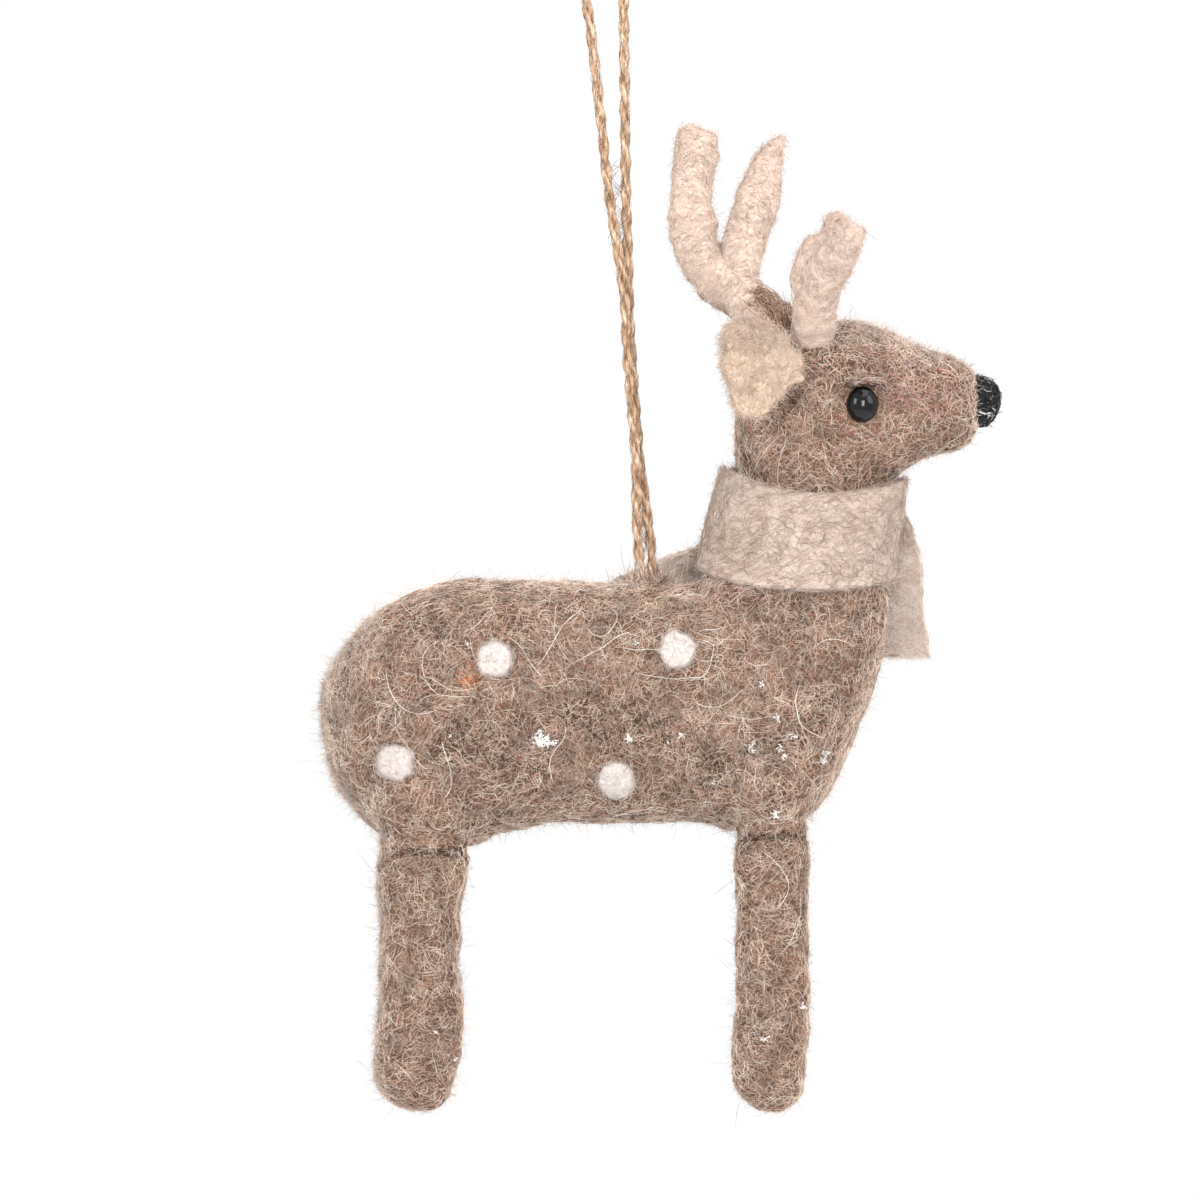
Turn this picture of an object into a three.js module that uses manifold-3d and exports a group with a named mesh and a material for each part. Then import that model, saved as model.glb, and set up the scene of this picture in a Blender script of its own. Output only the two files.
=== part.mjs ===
// A needle-felted wool deer that hangs from a loop of jute twine.
// Millimetres, +Z up, +X from the tail to the nose, -Y to the deer's right, which is its near side.
// The origin is the top of the twine loop, where the ornament hangs.

import * as THREE from 'three';
import { mergeVertices } from 'three/addons/utils/BufferGeometryUtils.js';
import Module from 'manifold-3d';

const wasm = await Module();
wasm.setup();

// Clearance between a piece and the neighbour that cuts it
const gap = 0.3;

// Barrel of the body: tail to chest, back to belly, flank to flank
const barrelLength = 76;
const barrelHeight = 37.5;
const barrelDepth = 33;
const tailToTwine = 46;
const barrelRowShares = [
  // along, top, bottom, depth
  [0, 0.45, 0.45, 0],
  [0.012, 0.358, 0.66, 0.4],
  [0.045, 0.243, 0.82, 0.62],
  [0.11, 0.1, 0.945, 0.83],
  [0.21, 0.019, 0.985, 0.97],
  [0.3, 0, 0.955, 1],
  [0.42, 0, 0.907, 0.97],
  [0.56, 0.012, 0.905, 0.94],
  [0.7, 0.012, 0.912, 0.93],
  [0.82, 0.015, 0.93, 0.92],
  [0.9, 0.045, 0.88, 0.84],
  [0.96, 0.15, 0.7, 0.64],
  [0.99, 0.26, 0.59, 0.4],
  [1, 0.43, 0.43, 0],
];

// Shoulder: the upright part of the body that carries the neck
const shoulderHeight = 35.3;
const shoulderLength = 29.1;
const shoulderDepth = 26;
const shoulderRise = 4.5;
const shoulderOverhang = 3.3;
const shoulderRowShares = [
  // up, rear, front, depth
  [0, 0.45, 0.45, 0],
  [0.1, 0.15, 0.725, 0.6],
  [0.26, 0.05, 0.857, 0.84],
  [0.47, 0, 0.95, 0.96],
  [0.63, 0, 0.98, 1],
  [0.78, 0.03, 1, 0.97],
  [0.87, 0.09, 0.985, 0.91],
  [0.94, 0.17, 0.94, 0.8],
  [0.985, 0.32, 0.8, 0.5],
  [1, 0.56, 0.56, 0],
];

// Haunches: the swellings of the body over each leg
const haunchDepth = 14;
const hindHaunchLength = 15.4;
const hindHaunchHeight = 14.6;
const frontHaunchLength = 12.4;
const frontHaunchHeight = 13;
const haunchDropShares = { hind: 0.805, front: 0.782 };

// Legs: from the sole to the belly, with a root that the body cuts off
const legLength = 36.7;
const legRoot = 6.7;
const legDepth = 10.8;
const legSpread = 15.4;
const hindLegWidth = 13.4;
const frontLegWidth = 11.1;
const legPlaceShares = { hind: 0.186, front: 0.827 };
const hindLegRowShares = [
  // up, rear, front, depth
  [0, 0.22, 0.72, 0.5],
  [0.02, 0.11, 0.81, 0.74],
  [0.065, 0.03, 0.84, 0.88],
  [0.15, 0, 0.875, 0.94],
  [0.31, 0.04, 0.93, 0.92],
  [0.49, 0.06, 0.906, 0.92],
  [0.69, 0.05, 0.93, 0.95],
  [0.84, 0.04, 1, 1],
  [1, 0.12, 0.92, 0.8],
];
const frontLegRowShares = [
  [0, 0.24, 0.74, 0.5],
  [0.03, 0.13, 0.86, 0.74],
  [0.08, 0.05, 0.92, 0.88],
  [0.18, 0, 0.95, 0.94],
  [0.34, 0.07, 1, 0.92],
  [0.49, 0.05, 0.975, 0.92],
  [0.69, 0.06, 0.975, 0.95],
  [0.84, 0.05, 0.98, 1],
  [1, 0.15, 0.9, 0.8],
];

// Neck and skull: felted as one piece
const neckHeight = 32.9;
const neckLength = 25.8;
const neckDepth = 21;
const neckSink = 7.3;
const shoulderToNeck = 5;
const neckRowShares = [
  // up, rear, front, depth
  [0, 0.04, 0.85, 0.86],
  [0.11, 0.005, 0.865, 0.88],
  [0.23, 0.02, 0.885, 0.88],
  [0.38, 0.055, 0.91, 0.89],
  [0.5, 0.1, 0.98, 0.91],
  [0.57, 0.105, 1, 0.95],
  [0.68, 0.09, 0.95, 1],
  [0.81, 0.11, 0.85, 0.98],
  [0.92, 0.19, 0.73, 0.8],
  [1, 0.46, 0.46, 0],
];
const skullLength = 33.3;
const skullHeight = 23.1;
const skullDepth = 23;
const neckToSkull = 3.7;
const crownOverNeck = 6.2;
const skullRowShares = [
  // along, top, bottom, depth
  [0, 0.5, 0.5, 0],
  [0.04, 0.33, 0.72, 0.4],
  [0.12, 0.18, 0.86, 0.66],
  [0.23, 0.065, 0.96, 0.88],
  [0.36, 0.01, 1, 0.99],
  [0.49, 0, 1, 1],
  [0.62, 0.072, 0.97, 0.9],
  [0.72, 0.145, 0.88, 0.76],
  [0.82, 0.19, 0.82, 0.63],
  [0.92, 0.235, 0.78, 0.5],
  [0.975, 0.33, 0.69, 0.34],
  [1, 0.5, 0.5, 0],
];

// Nose: a cap over the end of the muzzle
const noseLength = 5.4;
const noseHeight = 7;
const noseDepth = 6.6;
const noseDropShare = 0.49;
const noseForwardShare = 1.015;

// Eyes: beads on wire shanks
const eyeLength = 4.4;
const eyeHeight = 5;
const eyeDepth = 4;
const eyeSink = 0.7;
const eyeWireDiameter = 0.6;
const eyeWireLength = 6;
const eyeHoleShare = 0.5;
const eyeForwardShare = 0.5;
const eyeDropShare = 0.515;

// Ears: cupped leaves of felt
const earLength = 12.4;
const earWidth = 11.8;
const earThickness = 3;
const earCupShare = 0.72;
const earCupDepth = 0.7;
const earForwardShare = 0.223;
const earDropShare = 0.38;
const earSeat = 0.8;
const earLift = THREE.MathUtils.degToRad(30);
const earSplay = THREE.MathUtils.degToRad(14);

// Antlers: a stem that ends in one tine, and a second tine felted onto it
const antlerReach = 30;
const antlerDiameter = 6.3;
const antlerWireDiameter = 1.2;
const antlerWireTip = 4;
const tineWireStart = 3.2;
const antlerSpread = 9;
const antlerSeatShares = { near: [0.294, 0.188], far: [0.223, 0.145] };
const antlerStemShares = {
  // forward, up, outward, from a root inside the skull to the tip
  near: [
    [0.014, -0.154, -0.067],
    [0, 0, 0],
    [0.005, 0.15, 0.15],
    [0.028, 0.29, 0.3],
    [0.1, 0.43, 0.517],
    [0.185, 0.552, 0.75],
  ],
  far: [
    [0.023, -0.14, -0.05],
    [0, 0, 0],
    [-0.11, 0.11, 0.05],
    [-0.25, 0.235, 0.13],
    [-0.42, 0.39, 0.25],
    [-0.485, 0.585, 0.35],
    [-0.474, 0.81, 0.43],
    [-0.458, 1.04, 0.5],
  ],
};
const antlerTineShares = {
  near: [
    [0.007, 0.218, 0.217],
    [0, 0.361, 0.271],
    [0.06, 0.485, 0.338],
    [0.135, 0.588, 0.46],
  ],
  far: [
    [-0.265, 0.264, 0.134],
    [-0.248, 0.453, 0.223],
    [-0.167, 0.682, 0.338],
    [-0.098, 0.965, 0.434],
  ],
};

// Wires inside the legs and the neck
const legWireDiameter = 1.2;
const legWireFoot = 6;
const legWireRoot = 14;
const neckWireDiameter = 1.6;
const neckWireShares = { foot: [0.6, 0.42], head: [0.275, 0.66] };

// Scarf: one strip of felt, once round the neck, its ends crossed on the far side
const scarfWidth = 14.2;
const scarfThickness = 1.8;
const scarfSlack = 0.4;
const scarfSideSlack = 0.6;
const scarfForwardShare = 0.476;
const scarfUpShare = 0.3;
const scarfEdgeShare = 0.35;
const scarfRouteShares = [
  // forward, side, up, then the way across the strip
  [0.88, 0.88, -1.28, 0.88, -0.47, 0],
  [0.86, 0.88, -0.92, 0.88, -0.47, 0.02],
  [0.83, 0.92, -0.56, 0.86, -0.46, 0.2],
  [0.74, 1.03, -0.25, 0.78, -0.35, 0.52],
  [0.5, 1.19, -0.04, 0.5, -0.1, 0.86],
  [0.11, 1.27, 0.04, 0.28, 0, 0.96],
  [-0.34, 1.19, 0.07, 0.19, 0, 0.98],
  [-0.76, 0.85, 0.08, 0.22, 0, 0.97],
  [-0.95, 0.32, 0.09, 0.25, 0, 0.97],
  [-0.95, -0.18, 0.08, 0.25, 0, 0.97],
  [-0.74, -0.63, 0.01, 0.21, 0, 0.98],
  [-0.35, -0.94, -0.09, 0.17, 0, 0.98],
  [0.13, -1, -0.13, 0.15, 0, 0.98],
  [0.6, -0.8, -0.09, 0.15, 0, 0.98],
  [0.9, -0.38, -0.03, 0.13, 0, 0.98],
  [0.96, 0.11, 0, 0.12, 0, 0.98],
  [0.83, 0.58, -0.01, 0.1, -0.05, 0.98],
  [0.51, 0.9, -0.06, 0, -0.12, 0.98],
  [0.09, 1.03, -0.16, -0.14, -0.22, 0.96],
  [-0.34, 1.06, -0.31, -0.22, -0.34, 0.91],
  [-0.75, 1.03, -0.46, -0.16, -0.45, 0.88],
  [-1.14, 1.02, -0.6, -0.1, -0.52, 0.85],
  [-1.58, 1.03, -0.74, -0.07, -0.57, 0.82],
  [-2, 1.05, -0.9, -0.04, -0.62, 0.78],
];

// White spots felted onto the flanks
const spotDiameter = 5.4;
const spotThickness = 0.6;
const spotShares = {
  // along the barrel, down from the back
  near: [[0.319, 0.295], [0.138, 0.679], [0.654, 0.261], [0.543, 0.746]],
  far: [[0.3, 0.33], [0.155, 0.64], [0.6, 0.45], [0.46, 0.75]],
};

// Twine: the loop's points, chosen by hand, and its knot inside the back
const twineDiameter = 1.5;
const twineSteps = 76;
const twineSides = 8;
const twinePoints = [
  [6.65, -0.6, -98.7],
  [6.1, -0.45, -96],
  [5.6, -0.4, -92.5],
  [5.39, -0.72, -86.2],
  [5.32, -0.8, -81.3],
  [5.11, -0.8, -77.8],
  [4.62, -0.8, -72.2],
  [4.06, -0.8, -65.2],
  [3.78, -0.8, -58.2],
  [3.08, -0.75, -53.3],
  [1.68, -0.2, -44.2],
  [0.32, 0, -32.3],
  [-1.04, 0, -20.4],
  [-3.19, 0, -3.4],
  [-2.4, 0, -1.1],
  [0, 0, 0],
  [2.4, 0, -1.1],
  [3.19, 0, -3.4],
  [3.64, 0, -20.4],
  [3.78, 0, -32.3],
  [3.92, 0.2, -44.2],
  [4.2, 0.75, -53.3],
  [4.3, 0.8, -58.2],
  [4.62, 0.8, -65.2],
  [5.11, 0.8, -72.2],
  [5.6, 0.8, -77.8],
  [5.88, 0.8, -81.3],
  [6.58, 0.72, -86.2],
  [7.35, 0.4, -92.5],
  [7.68, 0.45, -96],
  [7.98, 0.6, -98.7],
];
const twineTail = 1.84;
const pivotRise = 1;
const rootMargin = 0.15;
const knotDiameter = 4.2;
const knotDepth = 6;

// How finely the forms are cut into rings, and how round their sections and the limbs' ends are
const formRings = 18;
const formSides = 18;
const limbRings = 14;
const limbSides = 10;
const wireSides = 6;
const wireSteps = 8;
const beadSides = 12;
const earSides = 14;
const rowSearchSteps = 20;
const scarfSteps = 46;
const scarfSamples = 5;
const sectionRoundShare = 0.87;
const endRoundShare = 0.83;

const sectionPower = 2 / sectionRoundShare;
const endPower = 2 / endRoundShare;
const up = new THREE.Vector3(0, 0, 1);
const forward = new THREE.Vector3(1, 0, 0);
const sides = { near: -1, far: 1 };

// Turns a closed geometry into a solid that can be joined and cut
function toSolid(geometry) {
  const bare = geometry.clone();
  bare.deleteAttribute('normal');
  bare.deleteAttribute('uv');
  const merged = mergeVertices(bare);
  return new wasm.Manifold(new wasm.Mesh({
    numProp: 3,
    vertProperties: new Float32Array(merged.attributes.position.array),
    triVerts: new Uint32Array(merged.index.array),
  }));
}

// Turns a solid back into a geometry
function toGeometry(solid) {
  const mesh = solid.getMesh();
  const geometry = new THREE.BufferGeometry();
  geometry.setAttribute('position', new THREE.BufferAttribute(mesh.vertProperties, 3));
  geometry.setIndex(new THREE.BufferAttribute(mesh.triVerts, 1));
  geometry.computeVertexNormals();
  return geometry;
}

// Joins rings of points into one closed skin, with a fan at each end
function skin(rings, first, last) {
  const count = rings[0].length;
  const points = [...rings.flat(), first, last];
  const index = [];
  for (let i = 0; i + 1 < rings.length; i += 1) {
    for (let j = 0; j < count; j += 1) {
      const next = (j + 1) % count;
      const [a, b] = [i * count + j, i * count + next];
      index.push(a, b, b + count, a, b + count, a + count);
    }
  }
  for (let j = 0; j < count; j += 1) {
    const next = (j + 1) % count;
    const end = (rings.length - 1) * count;
    index.push(rings.length * count, next, j);
    index.push(rings.length * count + 1, end + j, end + next);
  }
  let volume = 0;
  for (let i = 0; i < index.length; i += 3) {
    const [a, b, c] = [points[index[i]], points[index[i + 1]], points[index[i + 2]]];
    volume += a.dot(b.clone().cross(c));
  }
  if (volume < 0) index.reverse();
  const geometry = new THREE.BufferGeometry().setFromPoints(points);
  geometry.setIndex(index);
  return toSolid(geometry);
}

// A smooth row between the rows of a table, at 0 for its first row and 1 for its last
function rowAt(rows, t) {
  const last = rows.length - 1;
  const i = Math.min(Math.floor(t * last), last - 1);
  const u = t * last - i;
  const [a, b, c, d] = [i - 1, i, i + 1, i + 2].map((k) => rows[THREE.MathUtils.clamp(k, 0, last)]);
  return b.map((value, n) => {
    const [v0, v1] = [(c[n] - a[n]) / 2, (d[n] - value) / 2];
    const [e, f] = [2 * value - 2 * c[n] + v0 + v1, 3 * c[n] - 3 * value - 2 * v0 - v1];
    return ((e * u + f) * u + v0) * u + value;
  });
}

// A point of a rounded section, with half sizes a and b along two directions
function onSection(centre, alongA, a, alongB, b, angle, power = sectionPower) {
  const [c, s] = [Math.cos(angle), Math.sin(angle)];
  const round = 2 / power;
  return centre.clone()
    .addScaledVector(alongA, a * Math.sign(c) * Math.abs(c) ** round)
    .addScaledVector(alongB, b * Math.sign(s) * Math.abs(s) ** round);
}

// Centre and half sizes of a form at a row of its table
function sectionOf(form, row, spare) {
  const [place, low, high, deep] = row;
  const centre = form.from.clone()
    .addScaledVector(form.along, place * form.length)
    .addScaledVector(form.across, (low + high) / 2 * form.breadth);
  return { centre, half: (high - low) / 2 * form.breadth + spare, deep: deep * form.depth / 2 + spare };
}

// A felted form that swells and tapers as its table says, grown all over by a spare
function swell(form, spare = 0) {
  const side = new THREE.Vector3(0, 1, 0);
  const { rings: steps = formRings, sides: around = formSides } = form;
  const rings = [];
  const ends = [];
  for (let i = 0; i <= steps; i += 1) {
    const row = rowAt(form.rows, i / steps);
    const { centre, half, deep } = sectionOf(form, row, spare);
    const isEnd = i === 0 || i === steps;
    if (isEnd) ends.push(centre.clone().addScaledVector(form.along, i === 0 ? -spare : spare));
    if (isEnd && row[3] <= 0) continue;
    if (isEnd) centre.copy(ends[ends.length - 1]);
    const ring = [];
    for (let j = 0; j < around; j += 1) {
      ring.push(onSection(centre, side, deep, form.across, half, 2 * Math.PI * j / around));
    }
    rings.push(ring);
  }
  return skin(rings, ends[0], ends[1]);
}

// The row of a form at a share of its length
function rowAlong(form, share) {
  let [low, high] = [0, 1];
  for (let i = 0; i < rowSearchSteps; i += 1) {
    const middle = (low + high) / 2;
    if (rowAt(form.rows, middle)[0] < share) low = middle;
    else high = middle;
  }
  return rowAt(form.rows, low);
}

// Moves a point that lies inside a form out to its skin and a spare beyond
function pushOut(point, form, spare) {
  const share = point.clone().sub(form.from).dot(form.along) / form.length;
  if (share <= 0 || share >= 1) return point;
  const { centre, half, deep } = sectionOf(form, rowAlong(form, share), spare);
  const off = point.clone().sub(centre);
  const value = (Math.abs(off.dot(form.across)) / half) ** sectionPower
    + (Math.abs(off.y) / deep) ** sectionPower;
  if (value >= 1) return point;
  const place = off.multiplyScalar(value ** (-1 / sectionPower));
  return centre.add(place);
}

// How far a form reaches to the side at a place on its middle plane
function flankAt(form, place) {
  const share = place.clone().sub(form.from).dot(form.along) / form.length;
  const { centre, half, deep } = sectionOf(form, rowAlong(form, share), 0);
  const off = Math.abs(place.clone().sub(centre).dot(form.across)) / half;
  return deep * (1 - Math.min(off, 1) ** sectionPower) ** (1 / sectionPower);
}

// An egg shape with three half sizes
function egg(centre, halves, spare = 0) {
  const ball = new THREE.SphereGeometry(1, beadSides, beadSides / 2);
  ball.scale(halves.x + spare, halves.y + spare, halves.z + spare);
  ball.translate(centre.x, centre.y, centre.z);
  return toSolid(ball);
}

// A wool-wrapped limb along a curve, round at both ends, grown all over by a spare
function limb(curve, diameter, spare = 0) {
  const length = curve.getLength();
  const frames = curve.computeFrenetFrames(limbRings, false);
  const radius = diameter / 2;
  const rings = [];
  for (let i = 1; i < limbRings; i += 1) {
    const share = i / limbRings;
    const toEnd = Math.min(share, 1 - share) * length;
    const inset = Math.max(1 - toEnd / radius, 0);
    const size = radius * (1 - inset ** endPower) ** (1 / endPower) + spare;
    const centre = curve.getPointAt(share);
    const ring = [];
    for (let j = 0; j < limbSides; j += 1) {
      const angle = 2 * Math.PI * j / limbSides;
      ring.push(onSection(centre, frames.normals[i], size, frames.binormals[i], size, angle, 2));
    }
    rings.push(ring);
  }
  const first = curve.getPointAt(0).addScaledVector(frames.tangents[0], -spare);
  const last = curve.getPointAt(1).addScaledVector(frames.tangents[limbRings], spare);
  return skin(rings, first, last);
}

// A round bar along points, its ends a spare longer and its side a spare thicker
function bar(points, diameter, spare = 0, steps = wireSteps, around = wireSides) {
  const path = points.map((point) => point.clone());
  const last = path.length - 1;
  const firstWay = path[0].clone().sub(path[1]).normalize();
  const lastWay = path[last].clone().sub(path[last - 1]).normalize();
  path[0].addScaledVector(firstWay, spare);
  path[last].addScaledVector(lastWay, spare);
  const ring = [];
  for (let i = 0; i < around; i += 1) {
    const angle = 2 * Math.PI * i / around;
    const radius = diameter / 2 + spare;
    ring.push(new THREE.Vector2(radius * Math.cos(angle), radius * Math.sin(angle)));
  }
  const extrudePath = path.length > 2 ? new THREE.CatmullRomCurve3(path) : new THREE.LineCurve3(...path);
  return toSolid(new THREE.ExtrudeGeometry(new THREE.Shape(ring), {
    steps: path.length > 2 ? steps : 1,
    bevelEnabled: false,
    extrudePath,
  }));
}

// The stretch of a curve between two lengths along it
function stretch(curve, from, to) {
  const length = curve.getLength();
  const points = [];
  for (let i = 0; i <= wireSteps; i += 1) {
    points.push(curve.getPointAt(THREE.MathUtils.lerp(from, to, i / wireSteps) / length));
  }
  return points;
}

// Body
const barrel = {
  from: new THREE.Vector3(-tailToTwine, 0, 0),
  along: forward,
  length: barrelLength,
  across: up.clone().negate(),
  breadth: barrelHeight,
  depth: barrelDepth,
  rows: barrelRowShares,
};
const shoulder = {
  from: new THREE.Vector3(
    barrel.from.x + barrelLength + shoulderOverhang - shoulderLength,
    0,
    shoulderRise - shoulderHeight,
  ),
  along: up,
  length: shoulderHeight,
  across: forward,
  breadth: shoulderLength,
  depth: shoulderDepth,
  rows: shoulderRowShares,
};

// A place on the middle plane of the barrel, by its shares along and down
function onBarrel(along, down, y = 0) {
  return new THREE.Vector3(barrel.from.x + along * barrelLength, y, -down * barrelHeight);
}

function haunches(spare) {
  const list = [];
  for (const side of Object.values(sides)) {
    const y = side * legSpread / 2;
    const hind = new THREE.Vector3(hindHaunchLength / 2, haunchDepth / 2, hindHaunchHeight / 2);
    const front = new THREE.Vector3(frontHaunchLength / 2, haunchDepth / 2, frontHaunchHeight / 2);
    list.push(egg(onBarrel(legPlaceShares.hind, haunchDropShares.hind, y), hind, spare));
    list.push(egg(onBarrel(legPlaceShares.front, haunchDropShares.front, y), front, spare));
  }
  return list;
}

function torsoForm(spare = 0) {
  return haunches(spare).reduce((sum, one) => sum.add(one), swell(barrel, spare).add(swell(shoulder, spare)));
}

// Head
const neck = {
  from: new THREE.Vector3(shoulder.from.x + shoulderToNeck, 0, shoulderRise - neckSink),
  along: up,
  length: neckHeight,
  across: forward,
  breadth: neckLength,
  depth: neckDepth,
  rows: neckRowShares,
};
const skull = {
  from: new THREE.Vector3(neck.from.x + neckToSkull, 0, neck.from.z + neckHeight + crownOverNeck),
  along: forward,
  length: skullLength,
  across: up.clone().negate(),
  breadth: skullHeight,
  depth: skullDepth,
  rows: skullRowShares,
};

// A place on the middle plane of the skull, by its shares along and down
function onSkull(along, down, y = 0) {
  return new THREE.Vector3(skull.from.x + along * skullLength, y, skull.from.z - down * skullHeight);
}

function headForm(spare = 0) {
  return swell(neck, spare).add(swell(skull, spare));
}

// Antlers
function antlerCurve(which, rows) {
  const side = sides[which];
  const seat = onSkull(...antlerSeatShares[which], side * antlerSpread / 2);
  return new THREE.CatmullRomCurve3(rows.map(([x, z, out]) => (
    seat.clone().add(new THREE.Vector3(x, side * out, z).multiplyScalar(antlerReach))
  )));
}

function makeAntler(which) {
  const stem = antlerCurve(which, antlerStemShares[which]);
  const tine = antlerCurve(which, antlerTineShares[which]);
  const wire = stretch(stem, 0, stem.getLength() - antlerWireTip);
  const tineWire = stretch(tine, tineWireStart, tine.getLength() - antlerWireTip);
  const wireHole = bar(wire, antlerWireDiameter, gap);
  const tineHole = bar(tineWire, antlerWireDiameter, gap);
  return {
    wireHole,
    grown: limb(stem, antlerDiameter, gap),
    stem: limb(stem, antlerDiameter).subtract(headForm(gap)).subtract(wireHole).subtract(tineHole),
    tine: limb(tine, antlerDiameter).subtract(limb(stem, antlerDiameter, gap)).subtract(headForm(gap))
      .subtract(tineHole),
    wire: bar(wire, antlerWireDiameter),
    tineWire: bar(tineWire, antlerWireDiameter),
  };
}

// Eyes
function makeEye(side) {
  const place = onSkull(eyeForwardShare, eyeDropShare);
  const y = side * (flankAt(skull, place) - eyeSink);
  const centre = place.clone().setY(y);
  const halves = new THREE.Vector3(eyeLength / 2, eyeDepth / 2, eyeHeight / 2);
  const start = centre.clone().setY(y - side * eyeDepth / 2 * eyeHoleShare);
  const end = start.clone().setY(start.y - side * eyeWireLength);
  const hole = bar([start, end], eyeWireDiameter, gap);
  return {
    hole,
    socket: egg(centre, halves, gap),
    bead: egg(centre, halves).subtract(hole),
    wire: bar([start, end], eyeWireDiameter),
  };
}

// Ears
function makeEar(which, antler) {
  const side = sides[which];
  const seat = onSkull(earForwardShare, earDropShare);
  seat.y = side * flankAt(skull, seat);
  const ear = new THREE.SphereGeometry(1, earSides, beadSides);
  const cup = ear.clone();
  ear.scale(earLength / 2, earThickness / 2, earWidth / 2);
  cup.scale(earLength / 2 * earCupShare, earThickness / 2, earWidth / 2 * earCupShare);
  cup.translate(0, side * (earThickness - earCupDepth), 0);
  for (const one of [ear, cup]) {
    one.translate(-earLength / 2 + earSeat, 0, 0);
    one.rotateZ(-side * earSplay);
    one.rotateY(earLift);
    one.translate(seat.x, seat.y, seat.z);
  }
  return toSolid(ear).subtract(toSolid(cup)).subtract(headForm(gap)).subtract(antler.grown);
}

// Legs
function makeLeg(which, isHind) {
  const middle = onBarrel(isHind ? legPlaceShares.hind : legPlaceShares.front, 0);
  const y = sides[which] * legSpread / 2;
  const width = isHind ? hindLegWidth : frontLegWidth;
  const sole = -barrelHeight - legLength;
  const leg = {
    from: new THREE.Vector3(middle.x - width / 2, y, sole),
    along: up,
    length: legLength + legRoot,
    across: forward,
    breadth: width,
    depth: legDepth,
    rows: isHind ? hindLegRowShares : frontLegRowShares,
    rings: limbRings,
    sides: beadSides,
  };
  const foot = new THREE.Vector3(middle.x, y, sole + legWireFoot);
  const top = new THREE.Vector3(middle.x, y, legWireRoot - barrelHeight);
  const hole = bar([foot, top], legWireDiameter, gap);
  return {
    hole,
    leg: swell(leg).subtract(torsoForm(gap)).subtract(hole),
    wire: bar([foot, top], legWireDiameter),
  };
}

// Scarf
function makeScarf() {
  const centre = new THREE.Vector3(
    neck.from.x + scarfForwardShare * neckLength,
    0,
    neck.from.z + scarfUpShare * neckHeight,
  );
  const spare = gap + scarfThickness / 2;
  const reach = neckLength / 2 + scarfSlack;
  const sideReach = neckDepth / 2 + scarfSideSlack;
  const grid = [];
  for (let i = 0; i <= scarfSteps; i += 1) {
    const [x, y, z, wx, wy, wz] = rowAt(scarfRouteShares, i / scarfSteps);
    const middle = centre.clone()
      .add(new THREE.Vector3(x * reach, y * sideReach, z * scarfWidth));
    const way = new THREE.Vector3(wx, wy, wz).normalize();
    const line = [];
    for (let j = 0; j < scarfSamples; j += 1) {
      const off = (j / (scarfSamples - 1) - 1 / 2) * scarfWidth;
      let point = middle.clone().addScaledVector(way, off);
      for (const form of [neck, shoulder, barrel]) point = pushOut(point, form, spare);
      line.push(point);
    }
    grid.push(line);
  }
  const rings = grid.map((line, i) => {
    const [before, after] = [grid[Math.max(i - 1, 0)], grid[Math.min(i + 1, scarfSteps)]];
    const outer = [];
    const inner = [];
    line.forEach((point, j) => {
      const run = after[j].clone().sub(before[j]);
      const rise = line[Math.min(j + 1, scarfSamples - 1)].clone().sub(line[Math.max(j - 1, 0)]);
      const normal = run.cross(rise).normalize();
      const isEdge = j === 0 || j === scarfSamples - 1;
      const half = scarfThickness / 2 * (isEdge ? scarfEdgeShare * 2 : 1);
      outer.push(point.clone().addScaledVector(normal, half));
      inner.unshift(point.clone().addScaledVector(normal, -half));
    });
    return [...outer, ...inner];
  });
  const middleOf = (ring) => ring.reduce((sum, point) => sum.add(point), new THREE.Vector3())
    .divideScalar(ring.length);
  const strip = skin(rings, middleOf(rings[0]), middleOf(rings[scarfSteps]));
  return strip.subtract(torsoForm(gap)).subtract(headForm(gap));
}

// Spots
function makeSpot(which, along, down) {
  const side = sides[which];
  const place = onBarrel(along, down, side * barrelDepth / 2);
  const punch = new THREE.CylinderGeometry(spotDiameter / 2, spotDiameter / 2, barrelDepth, beadSides);
  punch.translate(place.x, place.y, place.z);
  return toSolid(punch).intersect(torsoForm(gap + spotThickness)).subtract(torsoForm(gap));
}

// Twine loop and the knot that holds it: the loop's ends are rounded about the pivot line in the back
const twine = twinePoints.map((point) => new THREE.Vector3(...point));
const entries = [twine[0], twine[twine.length - 1]];
const pivot = entries[0].clone().add(entries[1]).divideScalar(2).addScaledVector(up, twineTail);
const rootRadius = (entries[1].x - entries[0].x) / 2 + twineDiameter / 2 + rootMargin;
const rootDepth = entries[1].y - entries[0].y + twineDiameter + 2 * gap;

function rootBarrel(centre, radius, depth = rootDepth) {
  const shape = new THREE.CylinderGeometry(radius, radius, depth, 2 * beadSides);
  shape.translate(centre.x, centre.y, centre.z);
  return toSolid(shape);
}

function makeLoop() {
  const block = new THREE.BoxGeometry(4 * rootRadius, 2 * rootDepth, 2 * rootRadius);
  block.translate(pivot.x, 0, pivot.z - rootRadius);
  const below = toSolid(block).subtract(rootBarrel(pivot, rootRadius, 3 * rootDepth));
  return bar(twine, twineDiameter, 0, twineSteps, twineSides).subtract(below);
}

function makeKnot(backAt, spare = 0) {
  const low = backAt - knotDepth;
  const tails = entries.map((end) => {
    const top = new THREE.Vector3(end.x - pivot.x, end.y, backAt + spare);
    const foot = new THREE.Vector3(0, 0, low);
    return bar([top, top.clone().setZ(backAt - 2 * twineDiameter), foot], twineDiameter, spare);
  });
  const half = knotDiameter / 2;
  const knot = egg(new THREE.Vector3(0, 0, low), new THREE.Vector3(half, half, half), spare);
  return tails[0].add(tails[1]).add(knot);
}

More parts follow.
